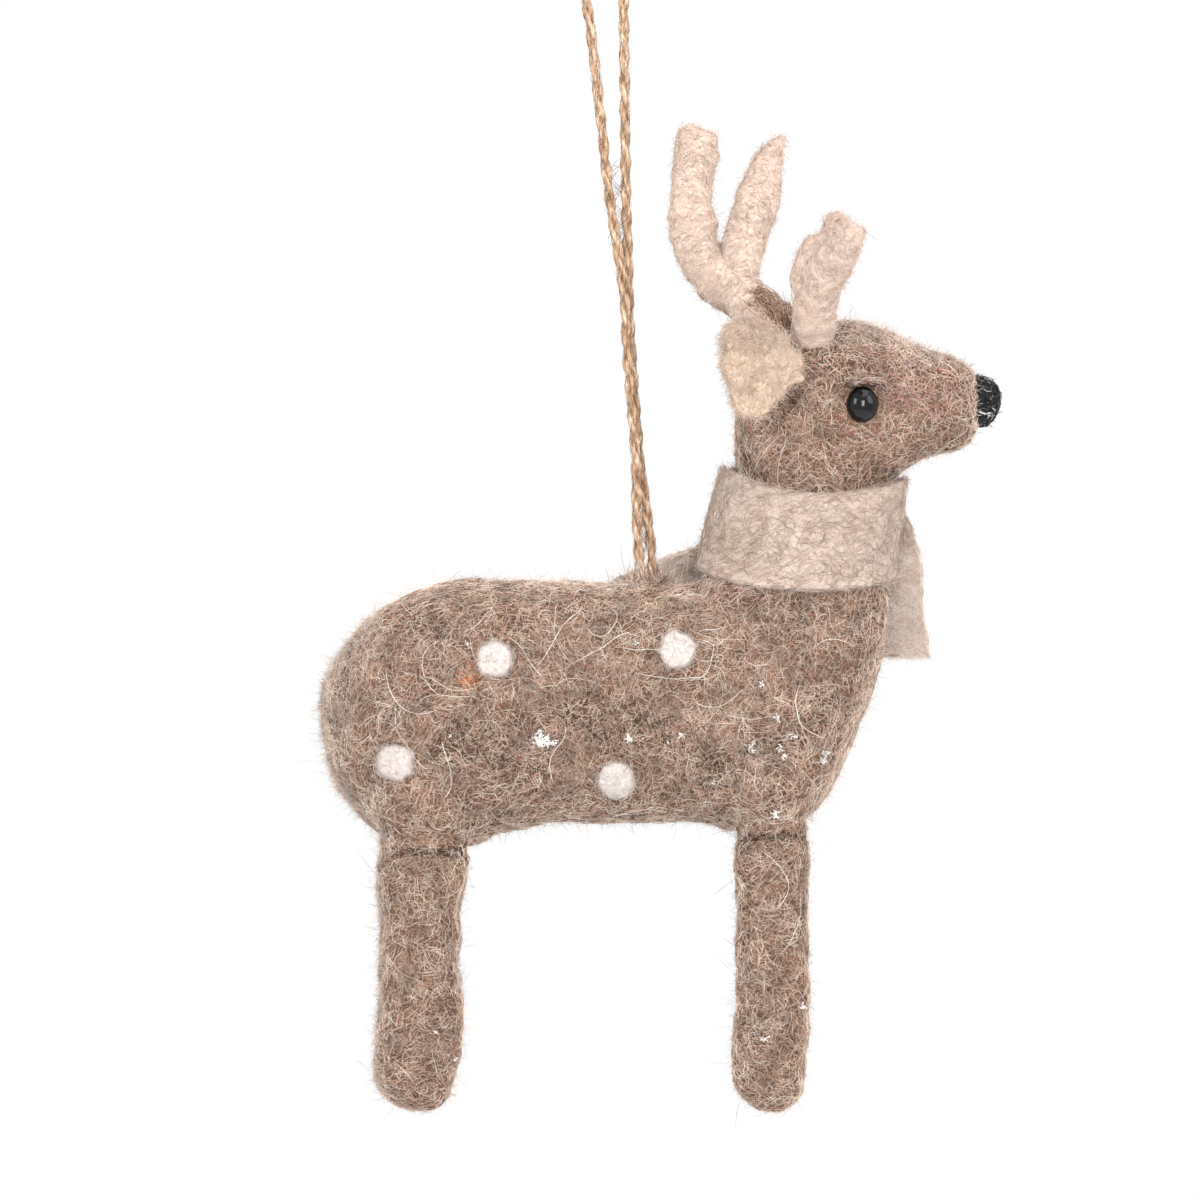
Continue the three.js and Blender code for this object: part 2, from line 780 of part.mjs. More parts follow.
// Materials
function felt(color, roughness = 0.95) {
  return new THREE.MeshStandardMaterial({ color, roughness, metalness: 0 });
}
const materials = {
  wool: felt(0x9a8272),
  cream: felt(0xe2ccbb),
  earCream: felt(0xe2cbb2),
  scarf: felt(0xd8c4b4),
  white: felt(0xf1eae5),
  black: felt(0x1c1a1a, 0.6),
  bead: felt(0x0c0c0e, 0.08),
  twine: felt(0xc8ab8c),
  steel: new THREE.MeshStandardMaterial({ color: 0x8c8f94, roughness: 0.4, metalness: 1 }),
};

const deer = new THREE.Group();
const ornament = new THREE.Group();

function addPiece(group, name, solid, material) {
  const mesh = new THREE.Mesh(toGeometry(solid), material);
  mesh.name = name;
  group.add(mesh);
}

const legs = [];
for (const which of Object.keys(sides)) {
  for (const isHind of [false, true]) {
    legs.push({ name: `${isHind ? 'hind' : 'front'}_${which}`, ...makeLeg(which, isHind) });
  }
}
const builtAntlers = Object.keys(sides).map((which) => ({ which, ...makeAntler(which) }));
const eyes = Object.keys(sides).map((which) => ({ which, ...makeEye(sides[which]) }));

const neckWire = [
  new THREE.Vector3(
    shoulder.from.x + neckWireShares.foot[0] * shoulderLength,
    0,
    shoulder.from.z + neckWireShares.foot[1] * shoulderHeight,
  ),
  onSkull(...neckWireShares.head),
];
const neckWireHole = bar(neckWire, neckWireDiameter, gap);

const twineRow = rowAlong(barrel, tailToTwine / barrelLength);
const backAt = barrel.from.z - twineRow[1] * barrelHeight;
const root = rootBarrel(new THREE.Vector3(0, 0, backAt + pivotRise), rootRadius + gap);

let torso = torsoForm().subtract(neckWireHole).subtract(makeKnot(backAt, gap)).subtract(root);
for (const leg of legs) torso = torso.subtract(leg.hole);
let head = headForm().subtract(torsoForm(gap)).subtract(neckWireHole);
for (const one of builtAntlers) head = head.subtract(one.wireHole);
for (const eye of eyes) head = head.subtract(eye.socket).subtract(eye.hole);

const noseCentre = onSkull(noseForwardShare, noseDropShare);
const noseHalves = new THREE.Vector3(noseLength / 2, noseDepth / 2, noseHeight / 2);

addPiece(deer, 'torso', torso, materials.wool);
addPiece(deer, 'head', head, materials.wool);
addPiece(deer, 'nose', egg(noseCentre, noseHalves).subtract(headForm(gap)), materials.black);
addPiece(deer, 'neck_wire', bar(neckWire, neckWireDiameter), materials.steel);
for (const leg of legs) {
  addPiece(deer, `leg_${leg.name}`, leg.leg, materials.wool);
  addPiece(deer, `leg_wire_${leg.name}`, leg.wire, materials.steel);
}
for (const antler of builtAntlers) {
  addPiece(deer, `antler_${antler.which}`, antler.stem, materials.cream);
  addPiece(deer, `antler_tine_${antler.which}`, antler.tine, materials.cream);
  addPiece(deer, `antler_wire_${antler.which}`, antler.wire, materials.steel);
  addPiece(deer, `tine_wire_${antler.which}`, antler.tineWire, materials.steel);
  addPiece(deer, `ear_${antler.which}`, makeEar(antler.which, antler), materials.earCream);
}
for (const eye of eyes) {
  addPiece(deer, `eye_${eye.which}`, eye.bead, materials.bead);
  addPiece(deer, `eye_wire_${eye.which}`, eye.wire, materials.steel);
}
for (const which of Object.keys(sides)) {
  spotShares[which].forEach(([along, down], i) => {
    addPiece(deer, `spot_${which}_${i + 1}`, makeSpot(which, along, down), materials.white);
  });
}
addPiece(deer, 'scarf', makeScarf(), materials.scarf);
addPiece(deer, 'twine_anchor', makeKnot(backAt).subtract(root), materials.twine);

deer.position.set(pivot.x, 0, pivot.z - pivotRise - backAt);
ornament.add(deer);
addPiece(ornament, 'twine_loop', makeLoop(), materials.twine);

export default ornament;
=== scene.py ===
# A needle-felted wool deer hanging from a loop of jute twine: its looks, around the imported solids.
# Shapes are worked out in millimetres and written in metres. -Y is the near side, +X is where the deer looks.

import math
from collections import namedtuple

import bpy
import numpy as np
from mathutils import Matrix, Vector, noise
from mathutils.bvhtree import BVHTree


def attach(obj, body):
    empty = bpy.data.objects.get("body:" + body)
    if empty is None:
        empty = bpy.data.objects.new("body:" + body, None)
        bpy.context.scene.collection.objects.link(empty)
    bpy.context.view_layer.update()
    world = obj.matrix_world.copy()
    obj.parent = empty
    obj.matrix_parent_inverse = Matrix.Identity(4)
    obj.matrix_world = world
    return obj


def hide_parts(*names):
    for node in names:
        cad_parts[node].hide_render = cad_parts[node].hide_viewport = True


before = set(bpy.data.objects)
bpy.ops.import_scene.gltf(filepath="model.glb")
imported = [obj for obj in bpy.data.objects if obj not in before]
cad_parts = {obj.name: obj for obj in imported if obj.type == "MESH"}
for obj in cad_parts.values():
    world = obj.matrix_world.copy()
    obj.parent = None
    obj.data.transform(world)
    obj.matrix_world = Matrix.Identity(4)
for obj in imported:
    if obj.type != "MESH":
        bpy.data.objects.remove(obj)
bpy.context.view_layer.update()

MM = 0.001
TINY = 1e-6
rng = np.random.default_rng(41)
NEAR, FAR = -1, 1
SIDES = {"near": NEAR, "far": FAR}
X, Z = np.array((1.0, 0, 0)), np.array((0, 0, 1.0))


# Camera

VIEW_CENTRE = (0.28, -100.24)
FRAME_WIDTH = 168.0
LENS = 500.0
SENSOR = 36.0

camera_data = bpy.data.cameras.new("camera")
camera_data.lens = LENS
camera_data.sensor_width = SENSOR
camera_data.clip_end = 20
camera = bpy.data.objects.new("camera", camera_data)
camera.location = Vector((VIEW_CENTRE[0], -FRAME_WIDTH * LENS / SENSOR, VIEW_CENTRE[1])) * MM
camera.rotation_euler = (math.pi / 2, 0, 0)
bpy.context.collection.objects.link(camera)
bpy.context.scene.camera = camera
bpy.context.scene.view_settings.view_transform = "Standard"


# Shader nodes

def linear(colour):
    """An sRGB colour, 0 to 255, as the linear colour that shaders take."""
    shares = [value / 255 for value in colour]
    return (*(c / 12.92 if c <= 0.04045 else ((c + 0.055) / 1.055) ** 2.4 for c in shares), 1.0)


def new_material(name, shown=None):
    """A material, its tree and its shader; shown is its plain colour in the viewport."""
    material = bpy.data.materials.new(name)
    material.use_nodes = True
    if shown:
        material.diffuse_color = linear(shown)
    return material, material.node_tree, material.node_tree.nodes["Principled BSDF"]


def feed(node, inputs):
    """Gives a node's sockets their values, or links them to another node's output."""
    for socket, value in inputs.items():
        if isinstance(value, bpy.types.NodeSocket):
            node.id_data.links.new(value, node.inputs[socket])
        else:
            node.inputs[socket].default_value = value


def add_node(tree, kind, inputs=None, **settings):
    node = tree.nodes.new(f"ShaderNode{kind}")
    for name, value in settings.items():
        setattr(node, name, value)
    feed(node, inputs or {})
    return node


def object_noise(tree, scale, detail, distortion=0.0, stretch=None, turn=(0, 0, 0)):
    """Noise that stays with the object; stretch and turn draw it out into strands."""
    place = add_node(tree, "TexCoord").outputs["Object"]
    if stretch:
        turned = {"Vector": place, "Rotation": turn, "Scale": stretch}
        place = add_node(tree, "Mapping", turned).outputs["Vector"]
    inputs = {"Vector": place, "Scale": scale, "Detail": detail, "Distortion": distortion}
    return add_node(tree, "TexNoise", inputs).outputs["Fac"]


def ramp(tree, level, tones, low=0.35, high=0.65):
    """Tones spread evenly over a span of levels."""
    made = add_node(tree, "ValToRGB", {"Fac": level})
    stops = made.color_ramp.elements
    stops[0].position, stops[0].color = low, linear(tones[0])
    stops[1].position, stops[1].color = high, linear(tones[-1])
    for i, tone in enumerate(tones[1:-1]):
        stops.new(low + (high - low) * (i + 1) / (len(tones) - 1)).color = linear(tone)
    return made.outputs["Color"]


def math_node(tree, operation, *levels):
    return add_node(tree, "Math", dict(enumerate(levels)), operation=operation).outputs[0]


def highest(tree, levels):
    last, *others = levels
    for level in others:
        last = math_node(tree, "MAXIMUM", last, level)
    return last


def span(tree, level, low, high):
    return add_node(tree, "MapRange", {"Value": level, "To Min": low, "To Max": high}).outputs["Result"]


def relief(tree, height, strength, distance):
    inputs = {"Height": height, "Strength": strength, "Distance": distance}
    return add_node(tree, "Bump", inputs).outputs["Normal"]


# Finishes

# Sizes in metres of the clouds of tone on a fibre and on steel, and of a scuff on a bead
FIBRE_CLOUD, STEEL_CLOUD, SCUFF = 0.004, 0.0006, 1 / 900
JUTE_STRETCH = (2400, 2400, 500)
MAT_STRETCH = (2600, 420, 2600)
MAT_TURNS = ((0.3, 0.2, 0.0), (1.4, 0.5, 0.9), (0.7, 1.3, 2.0))


def fibre(name, colour, roughness=0.85, sheen=0.0, specular=0.2, clouds=(0.88, 1.0, 1.07)):
    """A fibre's finish: its own tone, darker in some places of the coat and lighter in others."""
    material, tree, shader = new_material(name, colour)
    tones = [tuple(min(c * k, 255) for c in colour) for k in clouds]
    feed(shader, {
        "Base Color": ramp(tree, object_noise(tree, 1 / FIBRE_CLOUD, 2.0), tones),
        "Roughness": roughness, "Specular IOR Level": specular, "Sheen Weight": sheen, "Sheen Roughness": 0.5,
    })
    return material


def matted(name, tones, roughness=0.95, specular=0.15, bump=0.5):
    """Pressed wool: crossing layers of stretched noise as matted fibres, with soft clouds of tone."""
    material, tree, shader = new_material(name, tones[len(tones) // 2])
    strands = highest(tree, [object_noise(tree, 1.0, 2.0, 1.2, MAT_STRETCH, turn) for turn in MAT_TURNS])
    level = math_node(tree, "MULTIPLY_ADD", object_noise(tree, 160, 3.0), 0.5, strands)
    feed(shader, {
        "Base Color": ramp(tree, level, tones, 0.62, 1.0), "Normal": relief(tree, strands, bump, 0.0002),
        "Roughness": roughness, "Specular IOR Level": specular, "Sheen Weight": 0.1,
    })
    return material


def palette(prefix, tones, **finish):
    """A coat's fibres: name, colour and share of each tone."""
    weights = np.array([share for *_, share in tones])
    fibres = [fibre(f"{prefix}_{name}_fibre", colour, **finish) for name, colour, _ in tones]
    return fibres, weights / weights.sum()


SOFT = {"sheen": 0.1}
PALE = {"sheen": 0.1, "clouds": (0.96, 1.0, 1.03)}
WHITE = {"clouds": PALE["clouds"]}
PALETTES = {
    "under": ([
        ("dark", (90, 64, 50), 24), ("brown", (138, 104, 85), 24), ("tan", (180, 148, 126), 25),
        ("grey", (150, 131, 114), 4), ("red", (164, 102, 84), 10), ("light", (214, 187, 165), 13),
    ], {}),
    "over": ([
        ("tan", (197, 166, 144), 22), ("light", (224, 200, 180), 28), ("pale", (246, 232, 217), 19),
        ("brown", (112, 83, 66), 21), ("rose", (216, 172, 154), 10),
    ], SOFT),
    # The haze is real flyaway wool; its pale tones are also painted light, the glow of backlit fuzz along the
    # outline
    "haze": ([
        ("pale", (246, 233, 222), 44), ("light", (228, 208, 194), 30), ("rose", (224, 194, 182), 16),
        ("brown", (150, 120, 102), 10),
    ], SOFT),
    "long": ([("pale", (248, 241, 232), 7), ("light", (230, 216, 202), 3)], SOFT),
    "fleck": ([("white", (252, 249, 247), 1)], WHITE),
    # Dark fibres: real dark wool in the torso's patches, and painted shade in the creases at the legs' tops,
    # round the eyes, before the near antler's root and under the ear's root
    "dark": ([("dark", (78, 58, 47), 6), ("brown", (106, 82, 68), 4)], {}),
    # The lid's browns are painted shade: along the fold above each eye and on the near antler's shaded rear
    # side
    "lid": ([("tan", (176, 150, 132), 5), ("brown", (122, 96, 80), 5)], {}),
    "red": ([("red", (182, 86, 86), 5), ("rust", (186, 122, 112), 5)], {}),
    "rose": ([("pink", (214, 160, 150), 6), ("rose", (226, 188, 178), 4)], {}),
    "cream": ([
        ("cream", (225, 205, 190), 36), ("rose", (221, 191, 179), 24), ("pale", (243, 232, 223), 20),
        ("sand", (205, 179, 159), 14), ("brown", (150, 122, 104), 7),
    ], PALE),
    "ear": ([
        ("cream", (227, 205, 185), 36), ("pale", (241, 227, 213), 24), ("rose", (220, 191, 171), 22),
        ("sand", (202, 176, 153), 13), ("brown", (156, 128, 108), 5),
    ], PALE),
    "scarf": ([
        ("cream", (194, 176, 163), 32), ("pale", (232, 221, 211), 24), ("rose", (193, 164, 152), 20),
        ("sand", (174, 151, 134), 17), ("brown", (140, 116, 100), 6),
    ], PALE),
    # The tails' tones are a lighter copy of the scarf's own, painted light for the tails that hang in shade
    # behind the neck
    "tail": ([
        ("cream", (246, 231, 218), 34), ("pale", (253, 246, 239), 36), ("rose", (242, 221, 208), 18),
        ("sand", (226, 205, 189), 12),
    ], PALE),
    "white": ([("white", (226, 217, 212), 7), ("shade", (204, 193, 187), 3)], WHITE),
    "nose": ([
        ("black", (12, 10, 11), 60), ("soft", (34, 30, 31), 24), ("grey", (122, 114, 112), 9),
        ("pale", (214, 206, 202), 4),
    ], {"roughness": 0.45, "specular": 0.3}),
    "jute": ([
        ("straw", (202, 172, 140), 28), ("tan", (176, 142, 110), 28), ("dark", (118, 86, 62), 34),
        ("pale", (240, 220, 196), 14),
    ], {"roughness": 0.6, "specular": 0.3}),
    "orange": ([("orange", (232, 152, 98), 7), ("rust", (206, 132, 92), 3)], {}),
}
HAIR = {name: palette(name, tones, **finish) for name, (tones, finish) in PALETTES.items()}
FELT = {
    # The body felt is brown wool, painted darker than the hairs on it as the shade deep between them
    "body": matted("body_felt_with_painted_shade", [(64, 46, 37), (100, 76, 62), (134, 106, 89), (157, 130, 112)]),
    "cream": matted("antler_felt", [(205, 183, 167), (216, 195, 180), (225, 207, 193)], bump=0.2),
    "ear": matted("ear_felt", [(212, 188, 166), (223, 200, 178), (232, 212, 192)], bump=0.2),
    "scarf": matted("scarf_felt", [(183, 163, 149), (193, 174, 161), (203, 186, 174)], bump=0.2),
    "white": matted("white_felt", [(198, 187, 182), (211, 201, 196), (222, 214, 209)]),
    "nose": matted("nose_felt", [(6, 5, 6), (14, 12, 13), (28, 25, 25)], roughness=0.45, specular=0.3),
}



def steel_material():
    """Drawn steel wire, a little dull from place to place."""
    material, tree, shader = new_material("steel")
    dull = object_noise(tree, 1 / STEEL_CLOUD, 2.0)
    feed(shader, {
        "Base Color": ramp(tree, dull, [(128, 131, 136), (158, 161, 166), (182, 185, 189)]),
        "Roughness": span(tree, dull, 0.25, 0.5), "Metallic": 1.0,
    })
    return material


def jute_material():
    """Jute, with tones and grooves that run along its fibres."""
    material, tree, shader = new_material("jute")
    strands = object_noise(tree, 1.0, 3.0, stretch=JUTE_STRETCH)
    feed(shader, {
        "Base Color": ramp(tree, strands, [(134, 100, 74), (184, 152, 124), (226, 202, 176)], 0.34, 0.7),
        "Normal": relief(tree, strands, 0.6, 0.0001), "Roughness": 0.7, "Specular IOR Level": 0.3,
    })
    return material


def bead_material():
    """Polished black, with fine scuffs."""
    material, tree, shader = new_material("bead")
    scuffs = object_noise(tree, 1 / SCUFF, 4)
    feed(shader, {
        "Base Color": linear((10, 10, 12)), "Roughness": span(tree, scuffs, 0.05, 0.16),
        "Specular IOR Level": 0.3,
    })
    return material


STEEL, JUTE, BEAD = steel_material(), jute_material(), bead_material()
for node_name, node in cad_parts.items():
    if "wire" in node_name:
        for place in node.material_slots:
            place.material = STEEL


# Forms

Form = namedtuple("Form", "start along length across breadth depth rows")
SECTION_ROUND = 0.87
END_POWER = 2 / 0.83
SPAN_POINTS = 24
WRAP, RIDGE = 2.8, 0.03


def row_at(rows, t):
    """A smooth row between the rows of a table, at 0 for its first row and 1 for its last."""
    last = len(rows) - 1
    i = min(int(t * last), last - 1)
    u = t * last - i
    a, b, c, d = (np.array(rows[min(max(k, 0), last)]) for k in (i - 1, i, i + 1, i + 2))
    v0, v1 = (c - a) / 2, (d - b) / 2
    return ((2 * b - 2 * c + v0 + v1) * u + 3 * c - 3 * b - 2 * v0 - v1) * u * u + v0 * u + b


def spokes(around):
    """Equal angles round a circle, and their cosines and sines."""
    angles = 2 * np.pi * np.arange(around) / around
    return angles, np.cos(angles), np.sin(angles)


def closed(rings, first, last):
    """Rings of points and a point at each end, as vertices and faces that point out."""
    count = len(rings[0])
    points = np.vstack([*rings, first, last])
    end = (len(rings) - 1) * count
    faces = []
    for start in range(0, end, count):
        for j in range(count):
            a, b = start + j, start + (j + 1) % count
            faces.append((a, b, b + count, a + count))
    for j in range(count):
        following = (j + 1) % count
        faces.append((len(points) - 2, following, j))
        faces.append((len(points) - 1, end + j, end + following))
    volume = sum(np.dot(points[f[0]], np.cross(points[f[k]], points[f[k + 1]]))
                 for f in faces for k in range(1, len(f) - 1))
    return points, [f[::-1] for f in faces] if volume < 0 else faces


def section(form, row):
    """A form's middle, half height and half depth at a row of its table."""
    place, low, high, deep = row
    centre = form.start + form.along * place * form.length + form.across * (low + high) / 2 * form.breadth
    return centre, (high - low) / 2 * form.breadth, deep * form.depth / 2


def swell(form, steps=48, around=48):
    """A felted form that swells and tapers as its table says."""
    sides, ups = (np.sign(v) * np.abs(v) ** SECTION_ROUND for v in spokes(around)[1:])
    rings, ends = [], []
    for i in range(steps + 1):
        row = row_at(form.rows, i / steps)
        centre, half, deep = section(form, row)
        if i in (0, steps):
            ends.append(centre)
            if row[3] <= TINY:
                continue
        rings.append(centre + np.outer(sides * deep, (0, 1, 0)) + np.outer(ups * half, form.across))
    return closed(rings, *ends)


def egg(centre, halves, steps=24, around=32):
    centre, halves = np.array(centre), np.array(halves)
    _, c, s = spokes(around)
    rings = []
    for polar in np.pi * np.arange(1, steps) / steps:
        ball = np.stack([np.sin(polar) * c, np.sin(polar) * s, np.full(around, np.cos(polar))], axis=1)
        rings.append(centre + ball * halves)
    return closed(rings, centre + Z * halves[2], centre - Z * halves[2])


def curve_through(points):
    """Points along a smooth curve through the given ones, spaced by the root of their distances."""
    p = [np.array(q, float) for q in points]
    p = [2 * p[0] - p[1], *p, 2 * p[-1] - p[-2]]
    out = []
    for x0, x1, x2, x3 in zip(p, p[1:], p[2:], p[3:]):
        d0, d1, d2 = (max(np.linalg.norm(b - a) ** 0.5, TINY) for a, b in ((x0, x1), (x1, x2), (x2, x3)))
        t1 = ((x1 - x0) / d0 - (x2 - x0) / (d0 + d1) + (x2 - x1) / d1) * d1
        t2 = ((x2 - x1) / d1 - (x3 - x1) / (d1 + d2) + (x3 - x2) / d2) * d1
        for u in np.arange(SPAN_POINTS) / SPAN_POINTS:
            out.append(x1 + t1 * u + (3 * (x2 - x1) - 2 * t1 - t2) * u ** 2
                       + (2 * (x1 - x2) + t1 + t2) * u ** 3)
    return np.array([*out, p[-2]])


def run_along(line):
    """How far each point of a line is from its start."""
    return np.concatenate([[0], np.cumsum(np.linalg.norm(np.diff(line, axis=0), axis=1))])


def even(points, count):
    """The same line with its points at equal distances, and its length."""
    run = run_along(points)
    at = np.linspace(0, run[-1], count)
    return np.stack([np.interp(at, run, points[:, k]) for k in range(3)], axis=1), run[-1]


def line_frames(line):
    """Tangent and two directions across it at each point of a line, without twist."""
    tangents = np.gradient(line, axis=0)
    tangents /= np.linalg.norm(tangents, axis=1)[:, None]
    normal = np.cross(tangents[0], (0.3, 1.0, 0.2))
    normals = []
    for tangent in tangents:
        normal = normal - tangent * np.dot(normal, tangent)
        normal /= np.linalg.norm(normal)
        normals.append(normal)
    normals = np.array(normals)
    return tangents, normals, np.cross(tangents, normals)


def limb(points, diameter, girth, rings=64, around=30):
    """A wool-wrapped limb along a curve, blunt at both ends, with soft bands of wrapping.
    girth is its thickness from root to tip, as shares of the diameter."""
    line, length = even(curve_through(points), rings)
    _, normals, others = line_frames(line)
    _, c, s = spokes(around)
    out = []
    for i in range(1, rings - 1):
        at = length * i / (rings - 1)
        inset = max(1 - min(at, length - at) / (diameter / 2), 0)
        size = diameter / 2 * (1 - inset ** END_POWER) ** (1 / END_POWER)
        size *= np.interp(at / length, np.linspace(0, 1, len(girth)), girth)
        bands = 1 + RIDGE * np.sin(2 * np.pi * (at / WRAP + 0.5 * s * 0.3))
        out.append(line[i] + np.outer(c * bands, normals[i]) * size + np.outer(s * bands, others[i]) * size)
    return closed(out, line[0], line[-1])


# Surfaces

class Surface:
    """A skin in millimetres that wool can be laid on."""

    # How deep inside it a place counts as hidden; nothing needs to be told that lies deeper
    shallowest, deepest = 0.3, 4.0

    def __init__(self, points, faces):
        self.points, self.faces = points, faces
        tris = [(f[0], f[k], f[k + 1]) for f in faces for k in range(1, len(f) - 1)]
        self.tris = np.array(tris)
        corners = points[self.tris]
        cross = np.cross(corners[:, 1] - corners[:, 0], corners[:, 2] - corners[:, 0])
        self.areas = np.linalg.norm(cross, axis=1) / 2
        self.area = self.areas.sum()
        self.tree = BVHTree.FromPolygons([Vector(p) for p in points], tris)
        vertex = np.zeros_like(points)
        for k in range(3):
            np.add.at(vertex, self.tris[:, k], cross)
        self.normals = unit(vertex)

    def scatter(self, count, keep=None):
        """Points spread evenly over the skin, and the skin's directions there."""
        chosen = rng.choice(len(self.tris), count, p=self.areas / self.area)
        a, b = rng.random(count), rng.random(count)
        flip = a + b > 1
        a[flip], b[flip] = 1 - a[flip], 1 - b[flip]
        shares = np.stack([1 - a - b, a, b], axis=1)[:, :, None]
        points = (self.points[self.tris[chosen]] * shares).sum(axis=1)
        normals = unit((self.normals[self.tris[chosen]] * shares).sum(axis=1))
        if keep is None:
            return points, normals
        wanted = keep(points)
        return points[wanted], normals[wanted]

    def face_way(self, face):
        return self.normals[self.tris[face]].sum(axis=0)

    def snap(self, points):
        """The nearest places on the skin, and its directions there."""
        places, ways = np.empty_like(points), np.empty_like(points)
        for i, point in enumerate(points):
            place, _, face, _ = self.tree.find_nearest(point)
            places[i], ways[i] = place, self.face_way(face)
        return places, unit(ways)

    def inside(self, points):
        out = np.zeros(len(points), bool)
        for i, point in enumerate(points):
            place, _, face, distance = self.tree.find_nearest(point)
            if self.shallowest < distance < self.deepest:
                out[i] = np.dot(point - np.array(place), self.face_way(face)) < 0
        return out


def unit(vectors):
    return vectors / np.maximum(np.linalg.norm(vectors, axis=-1, keepdims=True), 1e-9)


def joined(parts):
    """Several shapes as one list of points and one of faces."""
    points, faces, start = [], [], 0
    for part_points, part_faces in parts:
        points.append(part_points)
        faces += [tuple(k + start for k in f) for f in part_faces]
        start += len(part_points)
    return np.vstack(points), faces


def fuse(parts, voxel, smooth):
    """Joins closed shapes into one even skin and rounds the creases between them."""
    points, faces = joined(parts)
    mesh = bpy.data.meshes.new("fused")
    mesh.from_pydata(points.tolist(), [], faces)
    obj = bpy.data.objects.new("fused", mesh)
    bpy.context.collection.objects.link(obj)
    remesh = obj.modifiers.new("remesh", "REMESH")
    remesh.mode = "VOXEL"
    remesh.voxel_size = voxel
    soften = obj.modifiers.new("soften", "SMOOTH")
    soften.factor = 0.5
    soften.iterations = smooth
    shown = obj.evaluated_get(bpy.context.evaluated_depsgraph_get())
    done = shown.to_mesh()
    out = np.empty(len(done.vertices) * 3)
    done.vertices.foreach_get("co", out)
    quads = [tuple(p.vertices) for p in done.polygons]
    shown.to_mesh_clear()
    bpy.data.objects.remove(obj)
    bpy.data.meshes.remove(mesh)
    return Surface(out.reshape(-1, 3), quads)


def lumpy(surface, layers, seed, extra=None, inset=0.0):
    """The same skin with the uneven lumps of hand felting; a layer is a size and a height.
    inset is how far it is drawn in, for the wool that lies on it."""
    shift = Vector((seed * 17.3, seed * 5.1, seed * 9.7))
    heights = np.array([sum(height * noise.noise(Vector(point) / size + shift * (k + 1))
                            for k, (size, height) in enumerate(layers)) for point in surface.points])
    points = surface.points + surface.normals * (heights - inset)[:, None]
    return Surface(points if extra is None else extra(points, surface.normals), surface.faces)


def tufted(corners):
    """Draws the wool out to tufted corners, or moves it in."""
    def extra(points, normals):
        out = points.copy()
        for x, z, right, up, size in corners:
            near = np.exp(-((points[:, 0] - x) ** 2 + (points[:, 2] - z) ** 2) / size ** 2)
            out[:, 0] += right * near
            out[:, 2] += up * near
        return out
    return extra


def add_mesh(name, points, faces, materials, indices=None):
    mesh = bpy.data.meshes.new(name)
    if isinstance(faces, np.ndarray):
        mesh.vertices.add(len(points))
        mesh.vertices.foreach_set("co", (points * MM).ravel())
        mesh.loops.add(faces.size)
        mesh.loops.foreach_set("vertex_index", faces.ravel().astype(np.int32))
        mesh.polygons.add(len(faces))
        mesh.polygons.foreach_set("loop_start", np.arange(0, faces.size, faces.shape[1], dtype=np.int32))
        mesh.update(calc_edges=True)
    else:
        mesh.from_pydata((points * MM).tolist(), [], faces)
    for material in materials:
        mesh.materials.append(material)
    if indices is not None:
        mesh.polygons.foreach_set("material_index", indices.astype(np.int32))
    mesh.polygons.foreach_set("use_smooth", np.full(len(mesh.polygons), True))
    mesh.update()
    obj = bpy.data.objects.new(name, mesh)
    bpy.context.collection.objects.link(obj)
    return obj


def add_skin(name, surface, material, node, body="deer"):
    obj = add_mesh(name, surface.points, surface.faces, [material])
    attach(obj, body)
    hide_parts(node)
    return obj


def add_padded(node, surface, material):
    add_skin(f"{node}_skin", surface, material, node)


# Wool

MOST_FACES = 180000
SINK = 0.08


def flatten(ways, normals):
    """Directions laid down into the skin."""
    return unit(ways - normals * (ways * normals).sum(axis=1)[:, None])


def lay(surface, roots, length, lift, curl=0.6, wobble=0.3, steps=5, flow=None, spread=1.0, rise=0.0):
    """Hairs that curl over a skin from their roots. lift is how high their middles stand, rise how far their
    ends do. flow gives the way that the wool was pulled, and spread how far hairs turn from it."""
    points, normals = roots
    count = len(points)
    lengths = rng.uniform(*length, count)
    if flow is None:
        along = unit(np.cross(normals, rng.normal(size=(count, 3))))
        heading = np.zeros(count)
    else:
        along = flatten(flow(points, normals) if callable(flow) else np.array(flow), normals)
        heading = rng.normal(0, 1, count) * spread + np.pi * rng.integers(0, 2, count)
    across = np.cross(normals, along)
    curls = rng.normal(0, curl, count) * lengths / steps
    bends = curls[:, None] + rng.normal(0, wobble, (count, steps - 1))
    headings = heading[:, None] + np.hstack([np.zeros((count, 1)), np.cumsum(bends, axis=1)])
    flat = np.stack([np.cos(headings), np.sin(headings)], axis=2) * (lengths / steps)[:, None, None]
    flat = np.concatenate([np.zeros((count, 1, 2)), np.cumsum(flat, axis=1)], axis=1)
    plane = points[:, None] + along[:, None] * flat[:, :, :1] + across[:, None] * flat[:, :, 1:]
    half = steps // 2
    share = np.arange(steps + 1) / steps
    at_half = half / steps
    middle, middle_way = surface.snap(plane[:, half])
    end, end_way = surface.snap(plane[:, steps])
    by_middle = (share * (1 - share) / (at_half * (1 - at_half)))[None, :, None]
    by_end = (share * (share - at_half) / (1 - at_half))[None, :, None]
    by_root = ((share - at_half) * (share - 1) / at_half)[None, :, None]
    lines = plane + (middle - plane[:, half])[:, None] * by_middle + (end - plane[:, steps])[:, None] * by_end
    skins = unit(normals[:, None] * by_root + middle_way[:, None] * by_middle + end_way[:, None] * by_end)
    height = rng.uniform(*lift, count)[:, None] * np.sin(np.pi * share) ** 0.8 - SINK
    if rise:
        height = height + rng.gamma(1.6, rise, count)[:, None] * share ** 1.5
    return lines + skins * height[:, :, None], skins


